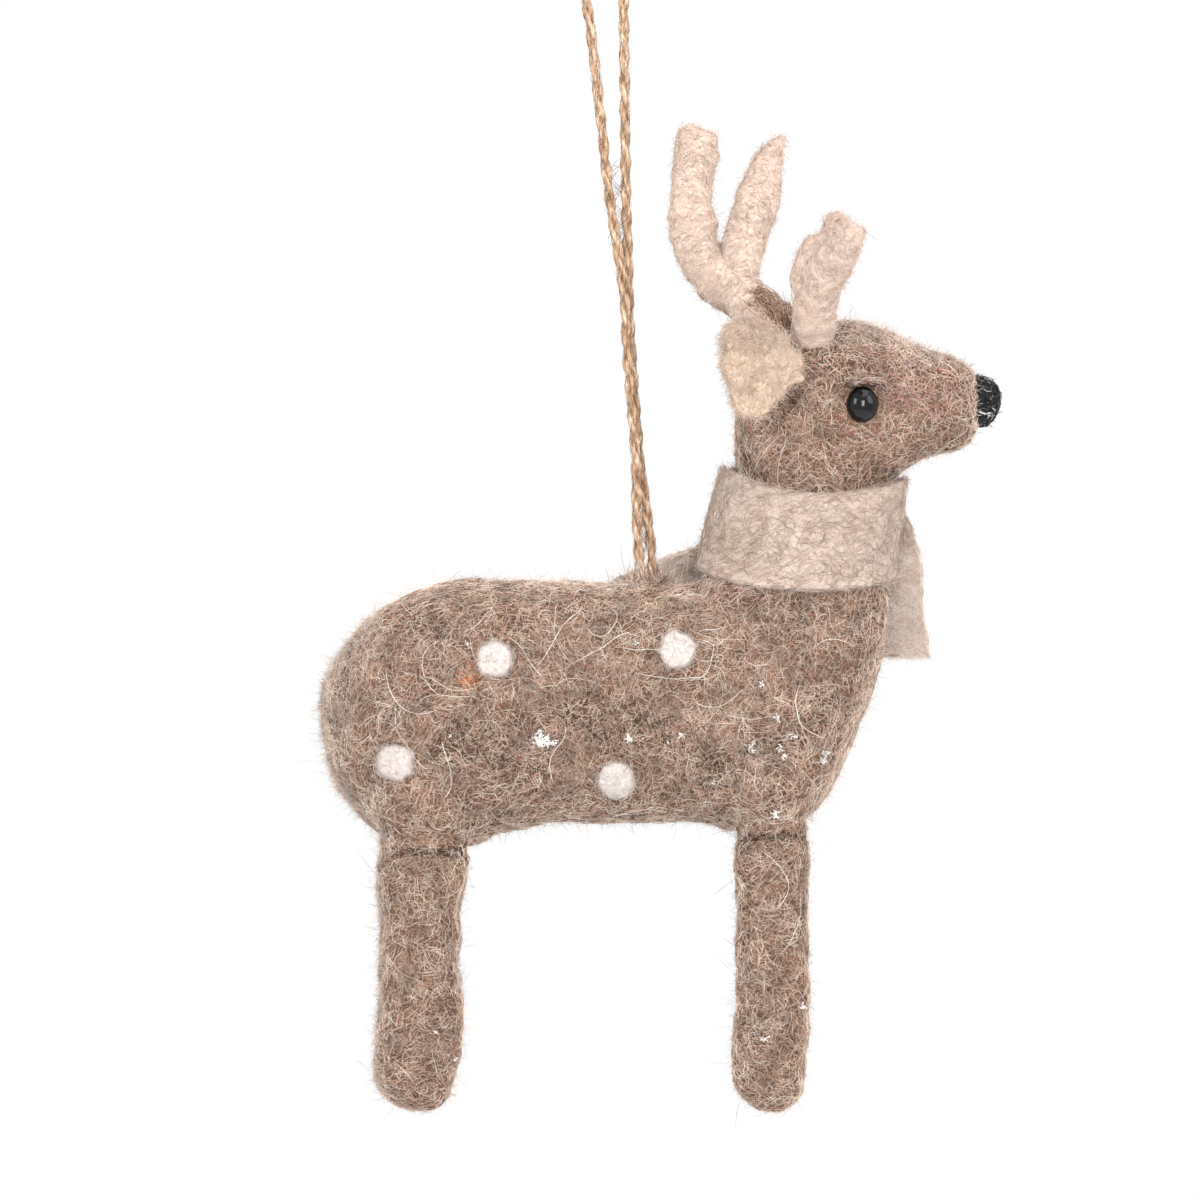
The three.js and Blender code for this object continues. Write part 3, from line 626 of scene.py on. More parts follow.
def trail(surface, starts, ways, length, lift, curl=0.12, wobble=0.1, steps=14):
    """Long hairs that follow a skin closely, step by step."""
    points, normals = surface.snap(starts)
    count = len(points)
    step = (rng.uniform(*length, count) / steps)[:, None]
    way = flatten(np.array(ways), normals)
    turn = rng.normal(0, curl, count)
    lines, skins = [points], [normals]
    for _ in range(steps):
        turn = turn * 0.8 + rng.normal(0, wobble, count)
        way = way * np.cos(turn)[:, None] + np.cross(normals, way) * np.sin(turn)[:, None]
        points, normals = surface.snap(points + way * step)
        way = flatten(way, normals)
        lines.append(points)
        skins.append(normals)
    lines, skins = np.stack(lines, axis=1), np.stack(skins, axis=1)
    share = np.linspace(0, 1, steps + 1)
    height = rng.uniform(*lift, count)[:, None] * np.sin(np.pi * share) ** 0.5 - SINK
    return lines + skins * height[:, :, None], skins


def loose(starts, ways, length, spread, steps=5):
    """Stray hairs that stand off into the air."""
    count = len(starts)
    ways = unit(ways + rng.normal(0, spread, (count, 3)))
    share = np.linspace(0, 1, steps + 1)[None, :, None]
    turn = rng.normal(0, 0.2, (count, 1, 3))
    reach = rng.uniform(*length, (count, 1, 1))
    lines = starts[:, None] + (ways[:, None] * share + turn * share ** 2) * reach
    skins = unit(np.cross(ways, rng.normal(size=(count, 3))))[:, None].repeat(steps + 1, axis=1)
    return lines, skins


def drop(batch, touches):
    """Takes out the hairs with a point where touches says so."""
    if touches is None:
        return batch
    lines, skins = batch
    keep = ~touches(lines.reshape(-1, 3)).reshape(len(lines), -1).any(axis=1)
    return lines[keep], skins[keep]


def hair_mesh(lines, skins, radius):
    """Three-sided hairs, pointed at both ends."""
    count, steps, _ = lines.shape
    tangents = unit(np.gradient(lines, axis=1))
    across = unit(np.cross(tangents, skins))
    over = np.cross(across, tangents)
    corners = []
    for k in range(3):
        angle = 2 * math.pi * k / 3
        ring = math.cos(angle) * over + math.sin(angle) * across
        corners.append(lines[:, 1:-1] + ring[:, 1:-1] * radius[:, None, None])
    inner = steps - 2
    per_hair = inner * 3 + 2
    corners = np.stack(corners, axis=2).reshape(count, inner * 3, 3)
    points = np.concatenate([corners, lines[:, :1], lines[:, -1:]], axis=1)
    faces = []
    for i in range(inner - 1):
        for k in range(3):
            a, b = i * 3 + k, i * 3 + (k + 1) % 3
            faces += [(a, b, b + 3), (a, b + 3, a + 3)]
    for k in range(3):
        following = (k + 1) % 3
        faces.append((inner * 3, following, k))
        faces.append((inner * 3 + 1, (inner - 1) * 3 + k, (inner - 1) * 3 + following))
    every = np.array(faces)[None] + (np.arange(count) * per_hair)[:, None, None]
    return points.reshape(-1, 3), every.reshape(-1, 3), len(faces)


def add_hair(name, tones, slot, radius, *batches, body="deer"):
    """Adds hairs as pieces. A batch is what lay gives, and all of them have the same steps."""
    materials, weights = HAIR[tones]
    lines, skins = (np.concatenate(arrays) for arrays in zip(*batches))
    most = MOST_FACES // (6 * (lines.shape[1] - 2))
    order = rng.permutation(len(lines))
    made = []
    for i, chosen in enumerate(np.array_split(order, math.ceil(len(lines) / most))):
        points, faces, per_hair = hair_mesh(lines[chosen], skins[chosen], rng.uniform(*radius, len(chosen)))
        tone = np.repeat(rng.choice(len(materials), len(chosen), p=weights), per_hair)
        obj = add_mesh(f"{name}_{i + 1}", points, faces, materials, tone)
        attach(obj, body)
        made.append(obj)
    return made


def coat(surface, density, keep, length, lift, clear=None, **how):
    """Hairs laid over a whole skin; density is hairs to a square millimetre."""
    return drop(lay(surface, surface.scatter(int(surface.area * density), keep), length, lift, **how), clear)


def pelt(name, surface, long, keep, clear=None, under=2.6, over=4.9, **how):
    """The deer's wool: a dark matted undercoat, finer light hairs on it, a haze at its edge, long hairs."""
    def layer(density, length, lift, **more):
        return coat(surface, density, keep, length, lift, clear, **more)

    add_hair(f"{name}_undercoat", "under", "wool", (0.036, 0.06),
             layer(under, (1.2, 3.4), (0.02, 0.26), curl=0.45, steps=4, **how))
    add_hair(f"{name}_topcoat", "over", "wool", (0.02, 0.04),
             layer(over * 0.78, (1.3, 4.2), (0.1, 0.48), curl=0.24, wobble=0.2, rise=0.08, steps=4, **how),
             layer(over * 0.22, (2.0, 4.6), (0.2, 0.55), curl=0.8, steps=4, **how))
    # The haze's pale tones are partly painted light for the glowing outline
    add_hair(f"{name}_haze", "haze", "wool", (0.014, 0.027),
             layer(2.5, (0.5, 1.8), (0.1, 0.4), rise=0.4, steps=3),
             layer(0.1, (2.0, 4.5), (0.3, 0.7), rise=0.7, steps=3))
    points, normals = surface.scatter(long, keep)
    ways = unit(np.cross(normals, rng.normal(size=normals.shape)))
    add_hair(f"{name}_long", "long", "wool", (0.028, 0.05),
             drop(trail(surface, points, ways, (4.0, 12.0), (0.25, 0.6), curl=0.07), clear))


# The deer's own frame, where the twine enters its back

DEER = np.array((7.315, 0.0, -97.3806))
barrel = Form(DEER + (-46, 0, 0), X, 76, -Z, 37.5, 33, [
    (0, 0.45, 0.45, 0), (0.012, 0.358, 0.66, 0.4), (0.045, 0.243, 0.82, 0.62), (0.11, 0.1, 0.945, 0.83),
    (0.21, 0.019, 0.985, 0.97), (0.3, 0, 0.955, 1), (0.42, 0, 0.907, 0.97), (0.56, 0.012, 0.905, 0.94),
    (0.7, 0.012, 0.912, 0.93), (0.82, 0.015, 0.93, 0.92), (0.9, 0.045, 0.88, 0.84), (0.96, 0.15, 0.7, 0.64),
    (0.99, 0.26, 0.59, 0.4), (1, 0.43, 0.43, 0),
])
shoulder = Form(DEER + (4.2, 0, -30.8), Z, 35.3, X, 29.1, 26, [
    (0, 0.45, 0.45, 0), (0.1, 0.15, 0.725, 0.6), (0.26, 0.05, 0.857, 0.84), (0.47, 0, 0.95, 0.96),
    (0.63, 0, 0.98, 1), (0.78, 0.03, 1, 0.97), (0.87, 0.09, 0.985, 0.91), (0.94, 0.17, 0.94, 0.8),
    (0.985, 0.32, 0.8, 0.5), (1, 0.56, 0.56, 0),
])
neck = Form(DEER + (9.2, 0, -2.8), Z, 32.9, X, 25.8, 21, [
    (0, 0.04, 0.85, 0.86), (0.11, 0.005, 0.865, 0.88), (0.23, 0.02, 0.885, 0.88), (0.38, 0.055, 0.91, 0.89),
    (0.5, 0.1, 0.98, 0.91), (0.57, 0.105, 1, 0.95), (0.68, 0.09, 0.95, 1), (0.81, 0.11, 0.85, 0.98),
    (0.92, 0.19, 0.73, 0.8), (1, 0.46, 0.46, 0),
])
skull = Form(DEER + (12.9, 0, 36.3), X, 33.3, -Z, 23.1, 23, [
    (0, 0.5, 0.5, 0), (0.04, 0.33, 0.72, 0.4), (0.12, 0.18, 0.86, 0.66), (0.23, 0.065, 0.96, 0.88),
    (0.36, 0.01, 1, 0.99), (0.49, 0, 1, 1), (0.62, 0.072, 0.97, 0.9), (0.72, 0.145, 0.88, 0.76),
    (0.82, 0.19, 0.82, 0.63), (0.92, 0.235, 0.78, 0.5), (0.975, 0.33, 0.69, 0.34), (1, 0.5, 0.5, 0),
])
LEG_SIDE, LEG_LENGTH, LEG_ROOT, LEG_DEPTH = 7.7, 36.7, 6.7, 10.8
LEGS = {
    # across, width, where the crease under the body is, the haunch's height and half sizes, and the rows
    "hind": (-31.864, 13.4, -38.0, -30.19, (7.7, 7.0, 7.3), [
        (0, 0.22, 0.72, 0.5), (0.02, 0.11, 0.81, 0.74), (0.065, 0.03, 0.84, 0.88), (0.15, 0, 0.875, 0.94),
        (0.31, 0.04, 0.925, 0.92), (0.49, 0.06, 0.885, 0.92), (0.69, 0.05, 0.905, 0.95),
        (0.84, 0.04, 0.98, 1), (1, 0.12, 0.92, 0.8),
    ]),
    "front": (16.852, 11.1, -35.9, -29.33, (6.2, 7.0, 6.5), [
        (0, 0.24, 0.74, 0.5), (0.03, 0.13, 0.86, 0.74), (0.08, 0.05, 0.92, 0.88), (0.18, 0, 0.95, 0.94),
        (0.34, 0.07, 1, 0.92), (0.49, 0.05, 0.975, 0.92), (0.69, 0.06, 0.975, 0.95), (0.84, 0.05, 0.98, 1),
        (1, 0.15, 0.9, 0.8),
    ]),
}


def place_on(form, along, down, y=0.0):
    return form.start + (along * form.length, y, -down * form.breadth)


def flank(form, place):
    """How far a form reaches to the side at a place on its middle plane."""
    share = np.dot(place - form.start, form.along) / form.length
    low, high = 0.0, 1.0
    for _ in range(24):
        middle = (low + high) / 2
        low, high = (middle, high) if row_at(form.rows, middle)[0] < share else (low, middle)
    centre, half, deep = section(form, row_at(form.rows, low))
    off = min(abs(np.dot(place - centre, form.across)) / half, 1)
    power = 2 / SECTION_ROUND
    return deep * (1 - off ** power) ** (1 / power)


# Twine

TWINE = [
    (6.65, -0.6, -98.7), (6.1, -0.45, -96), (5.6, -0.4, -92.5), (5.39, -0.72, -86.2), (5.32, -0.8, -81.3),
    (5.11, -0.8, -77.8), (4.62, -0.8, -72.2), (4.06, -0.8, -65.2), (3.78, -0.8, -58.2), (3.08, -0.75, -53.3),
    (1.68, -0.2, -44.2), (0.32, 0, -32.3), (-1.04, 0, -20.4), (-3.19, 0, -3.4), (-2.4, 0, -1.1), (0, 0, 0),
    (2.4, 0, -1.1), (3.19, 0, -3.4), (3.64, 0, -20.4), (3.78, 0, -32.3), (3.92, 0.2, -44.2),
    (4.2, 0.75, -53.3), (4.3, 0.8, -58.2), (4.62, 0.8, -65.2), (5.11, 0.8, -72.2), (5.6, 0.8, -77.8),
    (5.88, 0.8, -81.3), (6.58, 0.72, -86.2), (7.35, 0.4, -92.5), (7.68, 0.45, -96), (7.98, 0.6, -98.7),
]
THREADS = [
    # where a white thread clings to the twine, and the way it goes
    ((5.2, -1.6, -78.6), (1, 0, 0.35)), ((5.9, -1.6, -80.9), (1, 0, -0.5)),
    ((6.5, -1.5, -85.8), (0.8, 0, 0.7)),
]
TWINE_DIAMETER = 1.5
PLY_RADIUS = 0.42
PLY_PITCH = 7.6
FIBRE_PITCH = PLY_PITCH * 0.8
STRAND_REACH = 0.6
PIVOT = np.array((7.315, 0.0, -96.86))
KNOT = np.array((PIVOT[0], 0, -103.86))
KNOT_SIZE, KNOT_END = 0.42, 0.35
# From the pivot, how far down the twine begins and how far up its loose fibres do
TWINE_START, FUZZ_START = 1.1, 2.5


def ply_lines(line, phase):
    """The centrelines of the twine's two plies, which wind round each other."""
    _, normals, others = line_frames(line)
    angles = -2 * np.pi * run_along(line) / PLY_PITCH + phase
    out = []
    for half_turn in (0, np.pi):
        a = (angles + half_turn)[:, None]
        out.append(line + (TWINE_DIAMETER / 2 - PLY_RADIUS) * (np.cos(a) * normals + np.sin(a) * others))
    return out


def ply(line, seed, around=14):
    """One ply: a bundle of fibres, grooved along its own twist."""
    _, normals, others = line_frames(line)
    angles, c, s = spokes(around)
    rings = []
    for i, (centre, run) in enumerate(zip(line, run_along(line))):
        twist = 2 * np.pi * run / FIBRE_PITCH
        size = PLY_RADIUS * (1 + 0.1 * noise.noise(Vector((run / 1.7, seed, 0))))
        grooves = size * (1 + 0.07 * np.cos(5 * (angles + twist))
                          + 0.04 * np.cos(2 * (angles - twist) + seed))
        rings.append(centre + np.outer(c * grooves, normals[i]) + np.outer(s * grooves, others[i]))
    return closed(rings, line[0], line[-1])


def twine_piece(name, line, body, node, seed):
    plies = [ply(centre, seed + 3 * k) for k, centre in enumerate(ply_lines(line, seed))]
    skin = Surface(*joined(plies))
    return add_skin(name, skin, JUTE, node, body), skin


twine_path = curve_through(TWINE)
twine_path = twine_path[twine_path[:, 2] > PIVOT[2] - TWINE_START]
twine_line, twine_length = even(twine_path, 620)
twine, twine_skin = twine_piece("twine_strands", twine_line, "hanger", "twine_loop", 1)


def clear_of_back(points):
    return points[:, 2] > PIVOT[2] + FUZZ_START


def along_twine(points, normals):
    return Z - 0.35 * np.cross(normals, Z)


def off_strand(points):
    """Where a hair has strayed from its own strand towards the other."""
    return np.array([twine_skin.tree.find_nearest(point)[3] > STRAND_REACH for point in points])


twine_fuzz = add_hair(
    "twine_fuzz", "jute", "jute", (0.018, 0.038),
    drop(lay(twine_skin, twine_skin.scatter(6500, clear_of_back), (1.2, 3.6), (0.02, 0.09), curl=0.06,
             wobble=0.06, flow=along_twine, spread=0.14), off_strand),
    drop(lay(twine_skin, twine_skin.scatter(900, clear_of_back), (0.6, 2.0), (0.04, 0.16), curl=0.3,
             rise=0.14, flow=along_twine, spread=0.5), off_strand),
    body="hanger",
)
twine_threads = add_hair(
    "twine_threads", "white", "jute", (0.05, 0.07),
    trail(twine_skin, np.array([start for start, _ in THREADS]), [way for _, way in THREADS], (1.6, 2.2),
          (0.1, 0.2), steps=8),
    body="hanger",
)


def knot_line():
    """A thumb knot, drawn tight, where the twine's two tails meet inside the back."""
    t = np.linspace(KNOT_END, 2 * np.pi - KNOT_END, 90)
    turns = [np.sin(t) + 2 * np.sin(2 * t), np.cos(t) - 2 * np.cos(2 * t), -1.6 * np.sin(3 * t)]
    return KNOT + np.stack(turns, axis=1) * KNOT_SIZE


tails = [
    curve_through([(6.65, -0.6, -98.85), (6.65, -0.6, -100.4), (6.9, -0.3, -102), (7.2, 0, -103.2)]),
    curve_through([(7.98, 0.6, -98.85), (7.98, 0.6, -100.4), (7.7, 0.3, -102), (7.4, 0, -103.2)]),
    knot_line(),
]
for k, tail in enumerate(tails):
    twine_piece(f"twine_tail_{k + 1}", even(tail, 80)[0], "deer", "twine_anchor", k + 5)


# Body

ROOT_RADIUS = 2.15
ROOT_HALF = 1.65
LUMPS = ((11, 0.5), (4.5, 0.3), (1.6, 0.16))
BULGES = [
    # a place of the torso's outline across and up, how far it moves across and up, and its size
    (36.6, -120.5, -0.6, 0.2, 6.0), (-17.8, -133.4, 0.4, -0.8, 2.4), (18.6, -132.0, -0.2, -0.6, 1.8),
]
EYE_HALVES, EYE_SUNK = (2.2, 2.0, 2.5), 0.7
EYE_PLACE = place_on(skull, 0.5, 0.515)
EYE_SIDE = flank(skull, EYE_PLACE) - EYE_SUNK
EYES = {which: EYE_PLACE + (0, side * EYE_SIDE, 0) for which, side in SIDES.items()}
SOCKET_DEPTH, SOCKET_RADIUS = 1.3, 2.3
RIM_HEIGHT, RIM_RADIUS, RIM_WIDTH = 0.3, 3.3, 0.7
LID_HEIGHT, LID_UP, LID_THICK, LID_REACH = 0.35, 3.1, 0.8, 3.2
FOOT_HEIGHT, FOOT_TAPER, FOOT_ROUND = 4.5, 0.46, 2.2
CREASE_DEPTH, CREASE_HEIGHT = 0.1, 0.7
LEG_LUMPS = ((7, 0.45), (3, 0.5), (1.3, 0.25))
NOSE_HALVES = (2.9, 3.45, 3.6)
# How far a skin is drawn in for the wool on it
COAT_DEPTH, LEG_COAT_DEPTH, NOSE_COAT_DEPTH = 0.28, 0.42, 0.1


def notch(points, normals):
    """Opens the back round the line that the twine swings about."""
    points = tufted(BULGES)(points, normals)
    off = points - PIVOT
    away = np.hypot(off[:, 0], off[:, 2])
    near = (away < ROOT_RADIUS) & (np.abs(off[:, 1]) < ROOT_HALF)
    grow = ROOT_RADIUS / np.maximum(away[near], 0.2)
    points[near, 0] = PIVOT[0] + off[near, 0] * grow
    points[near, 2] = PIVOT[2] - np.abs(off[near, 2] * grow)
    return points


def sockets(points, normals):
    """Sinks the head round each eye and lifts a soft lid above it."""
    out = points.copy()
    for which, side in SIDES.items():
        off = points - EYES[which]
        away = np.hypot(off[:, 0] / 0.95, off[:, 2])
        sink = -SOCKET_DEPTH * np.exp(-((away / SOCKET_RADIUS) ** 4))
        rim = RIM_HEIGHT * np.exp(-(((away - RIM_RADIUS) / RIM_WIDTH) ** 2))
        lid = LID_HEIGHT * np.exp(-(((off[:, 2] - LID_UP) / LID_THICK) ** 2 + (off[:, 0] / LID_REACH) ** 2))
        same = off[:, 1] * side > -4
        out += normals * (same * (sink + rim + lid))[:, None]
    return out


def under(*others):
    """Keeps what isn't hidden inside other skins."""
    def keep(points):
        hidden = np.zeros(len(points), bool)
        for other in others:
            hidden |= other.inside(points)
        return ~hidden
    return keep


torso_parts = [swell(barrel), swell(shoulder)]
torso_parts += [egg(DEER + (x, side * LEG_SIDE, z), halves)
                for side in SIDES.values() for x, _, _, z, halves, _ in LEGS.values()]
torso = lumpy(fuse(torso_parts, 0.62, 8), LUMPS, 1, notch, inset=COAT_DEPTH)
head = lumpy(fuse([swell(neck), swell(skull)], 0.5, 8), LUMPS, 2, sockets, inset=COAT_DEPTH)
legs = {}
for end, (x, width, crease, _, _, rows) in LEGS.items():
    for which, side in SIDES.items():
        leg = Form(DEER + (x - width / 2, side * LEG_SIDE, -barrel.breadth - LEG_LENGTH), Z,
                   LEG_LENGTH + LEG_ROOT, X, width, LEG_DEPTH, rows)
        skin = fuse([swell(leg, around=36)], 0.45, 3)
        middle = skin.points[:, :2].mean(axis=0)

        def leg_shape(points, normals):
            """Rounds the foot and draws in a crease where the leg leaves the body."""
            low = np.clip(1 - (points[:, 2] - points[:, 2].min()) / FOOT_HEIGHT, 0, 1)
            drawn = np.exp(-((points[:, 2] - (DEER[2] + crease)) / CREASE_HEIGHT) ** 2)
            size = 1 - FOOT_TAPER * low ** FOOT_ROUND - CREASE_DEPTH * drawn
            out = points.copy()
            out[:, :2] = middle + (points[:, :2] - middle) * size[:, None]
            return out

        legs[f"{end}_{which}"] = lumpy(skin, LEG_LUMPS, 3 + len(legs), leg_shape, inset=LEG_COAT_DEPTH)
nose = fuse([egg(place_on(skull, 1.0, 0.49), NOSE_HALVES)], 0.25, 2)
nose = lumpy(nose, ((2, 0.25), (0.8, 0.16)), 9, inset=NOSE_COAT_DEPTH)

add_padded("torso", torso, FELT["body"])
add_padded("head", head, FELT["body"])
add_skin("nose_skin", nose, FELT["nose"], "nose")
for name, skin in legs.items():
    add_padded(f"leg_{name}", skin, FELT["body"])


# Antlers

ANTLER_REACH, ANTLER_DIAMETER, ANTLER_SPREAD = 30.0, 6.3, 9.0
SEATS = {"near": (0.294, 0.188), "far": (0.223, 0.145)}
BRANCHES = [
    # side and kind, its places forward, up and out from the seat as shares of the reach, and its girths
    ("near", "stem", [(0.014, -0.154, -0.067), (0, 0, 0), (0.005, 0.15, 0.15), (0.028, 0.29, 0.3),
                      (0.1, 0.43, 0.517), (0.185, 0.552, 0.75)], (1.0, 1.0, 1.0, 0.96, 0.84, 0.6)),
    ("near", "tine", [(0.007, 0.218, 0.217), (0, 0.361, 0.271), (0.06, 0.485, 0.338), (0.135, 0.588, 0.46)],
     (0.95, 1.0, 1.08, 1.12, 1.02, 0.74)),
    ("far", "stem", [(0.023, -0.14, -0.05), (0, 0, 0), (-0.11, 0.11, 0.05), (-0.25, 0.235, 0.13),
                     (-0.42, 0.39, 0.25), (-0.485, 0.585, 0.35), (-0.474, 0.81, 0.43), (-0.458, 1.04, 0.5)],
     (0.95, 1.02, 1.08, 1.08, 1.04, 1.0, 0.98, 0.94)),
    ("far", "tine", [(-0.265, 0.264, 0.134), (-0.248, 0.453, 0.223), (-0.167, 0.682, 0.338),
                     (-0.098, 0.965, 0.434)], (0.88, 0.96, 1.02, 1.02, 0.92, 0.76, 0.44)),
]
CORNERS = [
    # a tuft's place across and up, how far it stands out across and up, and its size
    (33.2, -46.0, 0.0, 0.4, 1.5), (37.0, -48.6, 1.0, 0.1, 1.6), (30.0, -47.6, 0.9, -1.5, 1.6),
    (36.4, -54.5, 0.8, 0.2, 2.2), (12.8, -33.8, -0.3, 0.5, 1.3), (17.0, -34.8, 0.7, 0.3, 1.4),
    (25.4, -35.8, 1.3, 1.5, 1.3), (15.0, -33.4, 0, -0.5, 1.2), (9.6, -47.6, -0.2, 0, 2.0),
    (14.2, -57.4, -0.5, -0.5, 3.0), (16.6, -47.0, 0.8, 0.1, 1.3), (20.2, -42.6, -0.7, 0.3, 1.7),
    (16.9, -38.0, 0.6, 0, 1.4),
]
antlers = []
for which, kind, shares, girth in BRANCHES:
    side = SIDES[which]
    seat = place_on(skull, *SEATS[which], side * ANTLER_SPREAD / 2)
    points = [seat + np.array((x, side * out, z)) * ANTLER_REACH for x, z, out in shares]
    skin = fuse([limb(points, ANTLER_DIAMETER, girth)], 0.36, 2)
    skin = lumpy(skin, ((4, 0.42), (1.8, 0.15)), 20 + len(antlers), tufted(CORNERS), inset=0.25)
    add_padded(f"antler_{'tine_' if kind == 'tine' else ''}{which}", skin, FELT["cream"])
    antlers.append((which, kind, skin, even(curve_through(points), 60)[0]))


# Ears and eyes

PUFFS = [
    # across and up from where the ear is sewn on, and half sizes across, through and up
    (-5.0, 3.3, 5.0, 1.4, 4.9), (-7.4, 6.1, 3.2, 1.1, 3.0), (-5.9, -1.7, 3.3, 1.2, 3.6),
    (-1.6, 2.6, 2.9, 1.2, 2.2), (0.2, 0.4, 1.7, 1.0, 1.1), (-8.0, 2.4, 2.4, 1.0, 3.4),
    (-3.0, -0.6, 2.4, 1.1, 2.2),
]
EAR_TURN = 0.25
ears = {}
for which, side in SIDES.items():
    seat = place_on(skull, 0.223, 0.38)
    seat = seat + (0, side * flank(skull, seat), 0)
    puffs = [egg(seat + (x, side * EAR_TURN * abs(x), z), halves) for x, z, *halves in PUFFS]
    ears[which] = lumpy(fuse(puffs, 0.3, 14), ((4, 0.4), (1.9, 0.16)), 30 + side, inset=0.3)
    add_padded(f"ear_{which}", ears[which], FELT["ear"])
for which, side in SIDES.items():
    bead = Surface(*egg(EYES[which], EYE_HALVES, steps=56, around=80))
    bead = lumpy(bead, ((1.3, 0.05), (0.6, 0.012)), 60 + side)
    add_skin(f"eye_{which}_bead", bead, BEAD, f"eye_{which}")


# Scarf

RIMS = [
    # a place of the strip across and up, how far it moves across and up, and its size
    (19.0, -80.6, -0.2, 1.2, 3.0), (42.0, -84.2, 0.2, 0.4, 2.2), (43.0, -88.4, 0.6, 0, 2.6),
    (45.6, -101, -0.5, 0, 4.0),
]
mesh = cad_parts["scarf"].data
strip = (np.array([v.co[:] for v in mesh.vertices]) / MM, [tuple(p.vertices) for p in mesh.polygons])
scarf = lumpy(fuse([strip], 0.4, 4), ((9, 0.35), (3, 0.08)), 50, tufted(RIMS), inset=0.3)
scarf.deepest = 1.5
scarf_piece = add_skin("scarf_strip", scarf, FELT["scarf"], "scarf")


# Spots of white wool

SPOT_RADIUS = 2.7
SPOT_DOME = 0.55
SPOT_ROOT = 0.5
# As shares of a spot's radius, the disc's own and where its rim begins
SPOT_DISC, SPOT_RIM = 0.94, 0.75
SPOTS = {
    "near": [(0.319, 0.295), (0.138, 0.679), (0.654, 0.261), (0.543, 0.746)],
    "far": [(0.3, 0.33), (0.155, 0.64), (0.6, 0.45), (0.46, 0.75)],
}


def cast(surface, side, x, z):
    """Where a line along Y first meets a skin from one side."""
    place, _, face, _ = surface.tree.ray_cast((x, side * 60, z), (0, -side, 0))
    if place is None:
        place, _, face, _ = surface.tree.find_nearest((x, side * 10, z))
    way = surface.face_way(face)
    return np.array(place), way / np.linalg.norm(way)


def pressed_disc(side, x, z, seed, rings=9, around=40):
    """A tuft pressed onto the torso: it follows the skin and swells a little over it."""
    tops, bottoms = [], []
    for share in np.arange(1, rings + 1) / rings:
        top, bottom = [], []
        for c, s in zip(*spokes(around)[1:]):
            edge = SPOT_RADIUS * SPOT_DISC * (1 + 0.16 * noise.noise((2 * c, 2 * s, seed * 3.7)))
            place, way = cast(torso, side, x + edge * share * c, z + edge * share * s)
            rough = 0.05 * noise.noise(Vector(place) * 1.4 + Vector((seed, 0, 0)))
            top.append(place + way * (SPOT_DOME * (1 - share ** 4) + rough + 0.02))
            bottom.append(place - way * SPOT_ROOT)
        tops.append(np.array(top))
        bottoms.append(np.array(bottom))
    centre, way = cast(torso, side, x, z)
    return Surface(*closed([*tops, *reversed(bottoms)], centre + way * SPOT_DOME, centre - way * SPOT_ROOT))


spots = {}
for which, side in SIDES.items():
    for i, (along, down) in enumerate(SPOTS[which]):
        x, _, z = place_on(barrel, along, down)
        spots[f"spot_{which}_{i + 1}"] = (pressed_disc(side, x, z, len(spots) + 1), x, side, z)
for name, (skin, *_) in spots.items():
    add_skin(f"{name}_tuft", skin, FELT["white"], name)


# Where wool may lie

ROOT_CLEAR = 2.1
SLOT_HALF, SLOT_REACH = 1.6, 6


def on_spots(points, share=0.8):
    touched = np.zeros(len(points), bool)
    for _, x, side, z in spots.values():
        near = np.hypot(points[:, 0] - x, points[:, 2] - z) < SPOT_RADIUS * share
        touched |= near & (points[:, 1] * side > 0)
    return touched


def on_eyes(points):
    touched = np.zeros(len(points), bool)
    for which, side in SIDES.items():
        off = points - EYES[which]
        touched |= (np.hypot(off[:, 0] / 2.15, off[:, 2] / 2.5) < 1) & (points[:, 1] * side > 0)
    return touched


def off_twine(points):
    return np.hypot(points[:, 0] - PIVOT[0], points[:, 1]) > ROOT_CLEAR


def in_slot(points):
    """Where a hair would be in the twine's way as it swings."""
    away = np.hypot(points[:, 0] - PIVOT[0], points[:, 2] - PIVOT[2])
    return (np.abs(points[:, 1]) < SLOT_HALF) & (away < SLOT_REACH)


def pinned(surface, places):
    """Where lines along Y from the near side meet a skin, at places in the deer's own frame."""
    found = [cast(surface, NEAR, DEER[0] + x, DEER[2] + z) for x, z in places]
    return np.array([place for place, _ in found]), np.array([way for _, way in found])


def round_leg(points, normals):
    return np.cross(Z, normals)


# Coats

pelt("torso", torso, 170, lambda p: under(head, *legs.values())(p) & off_twine(p) & ~on_spots(p, 0.9),
     lambda p: on_spots(p) | ~off_twine(p))
pelt("head", head, 44, under(torso, scarf), on_eyes, under=3.5, over=3.7)
for name, skin in legs.items():
    pelt(f"leg_{name}", skin, 12, under(torso), flow=round_leg, spread=0.9)

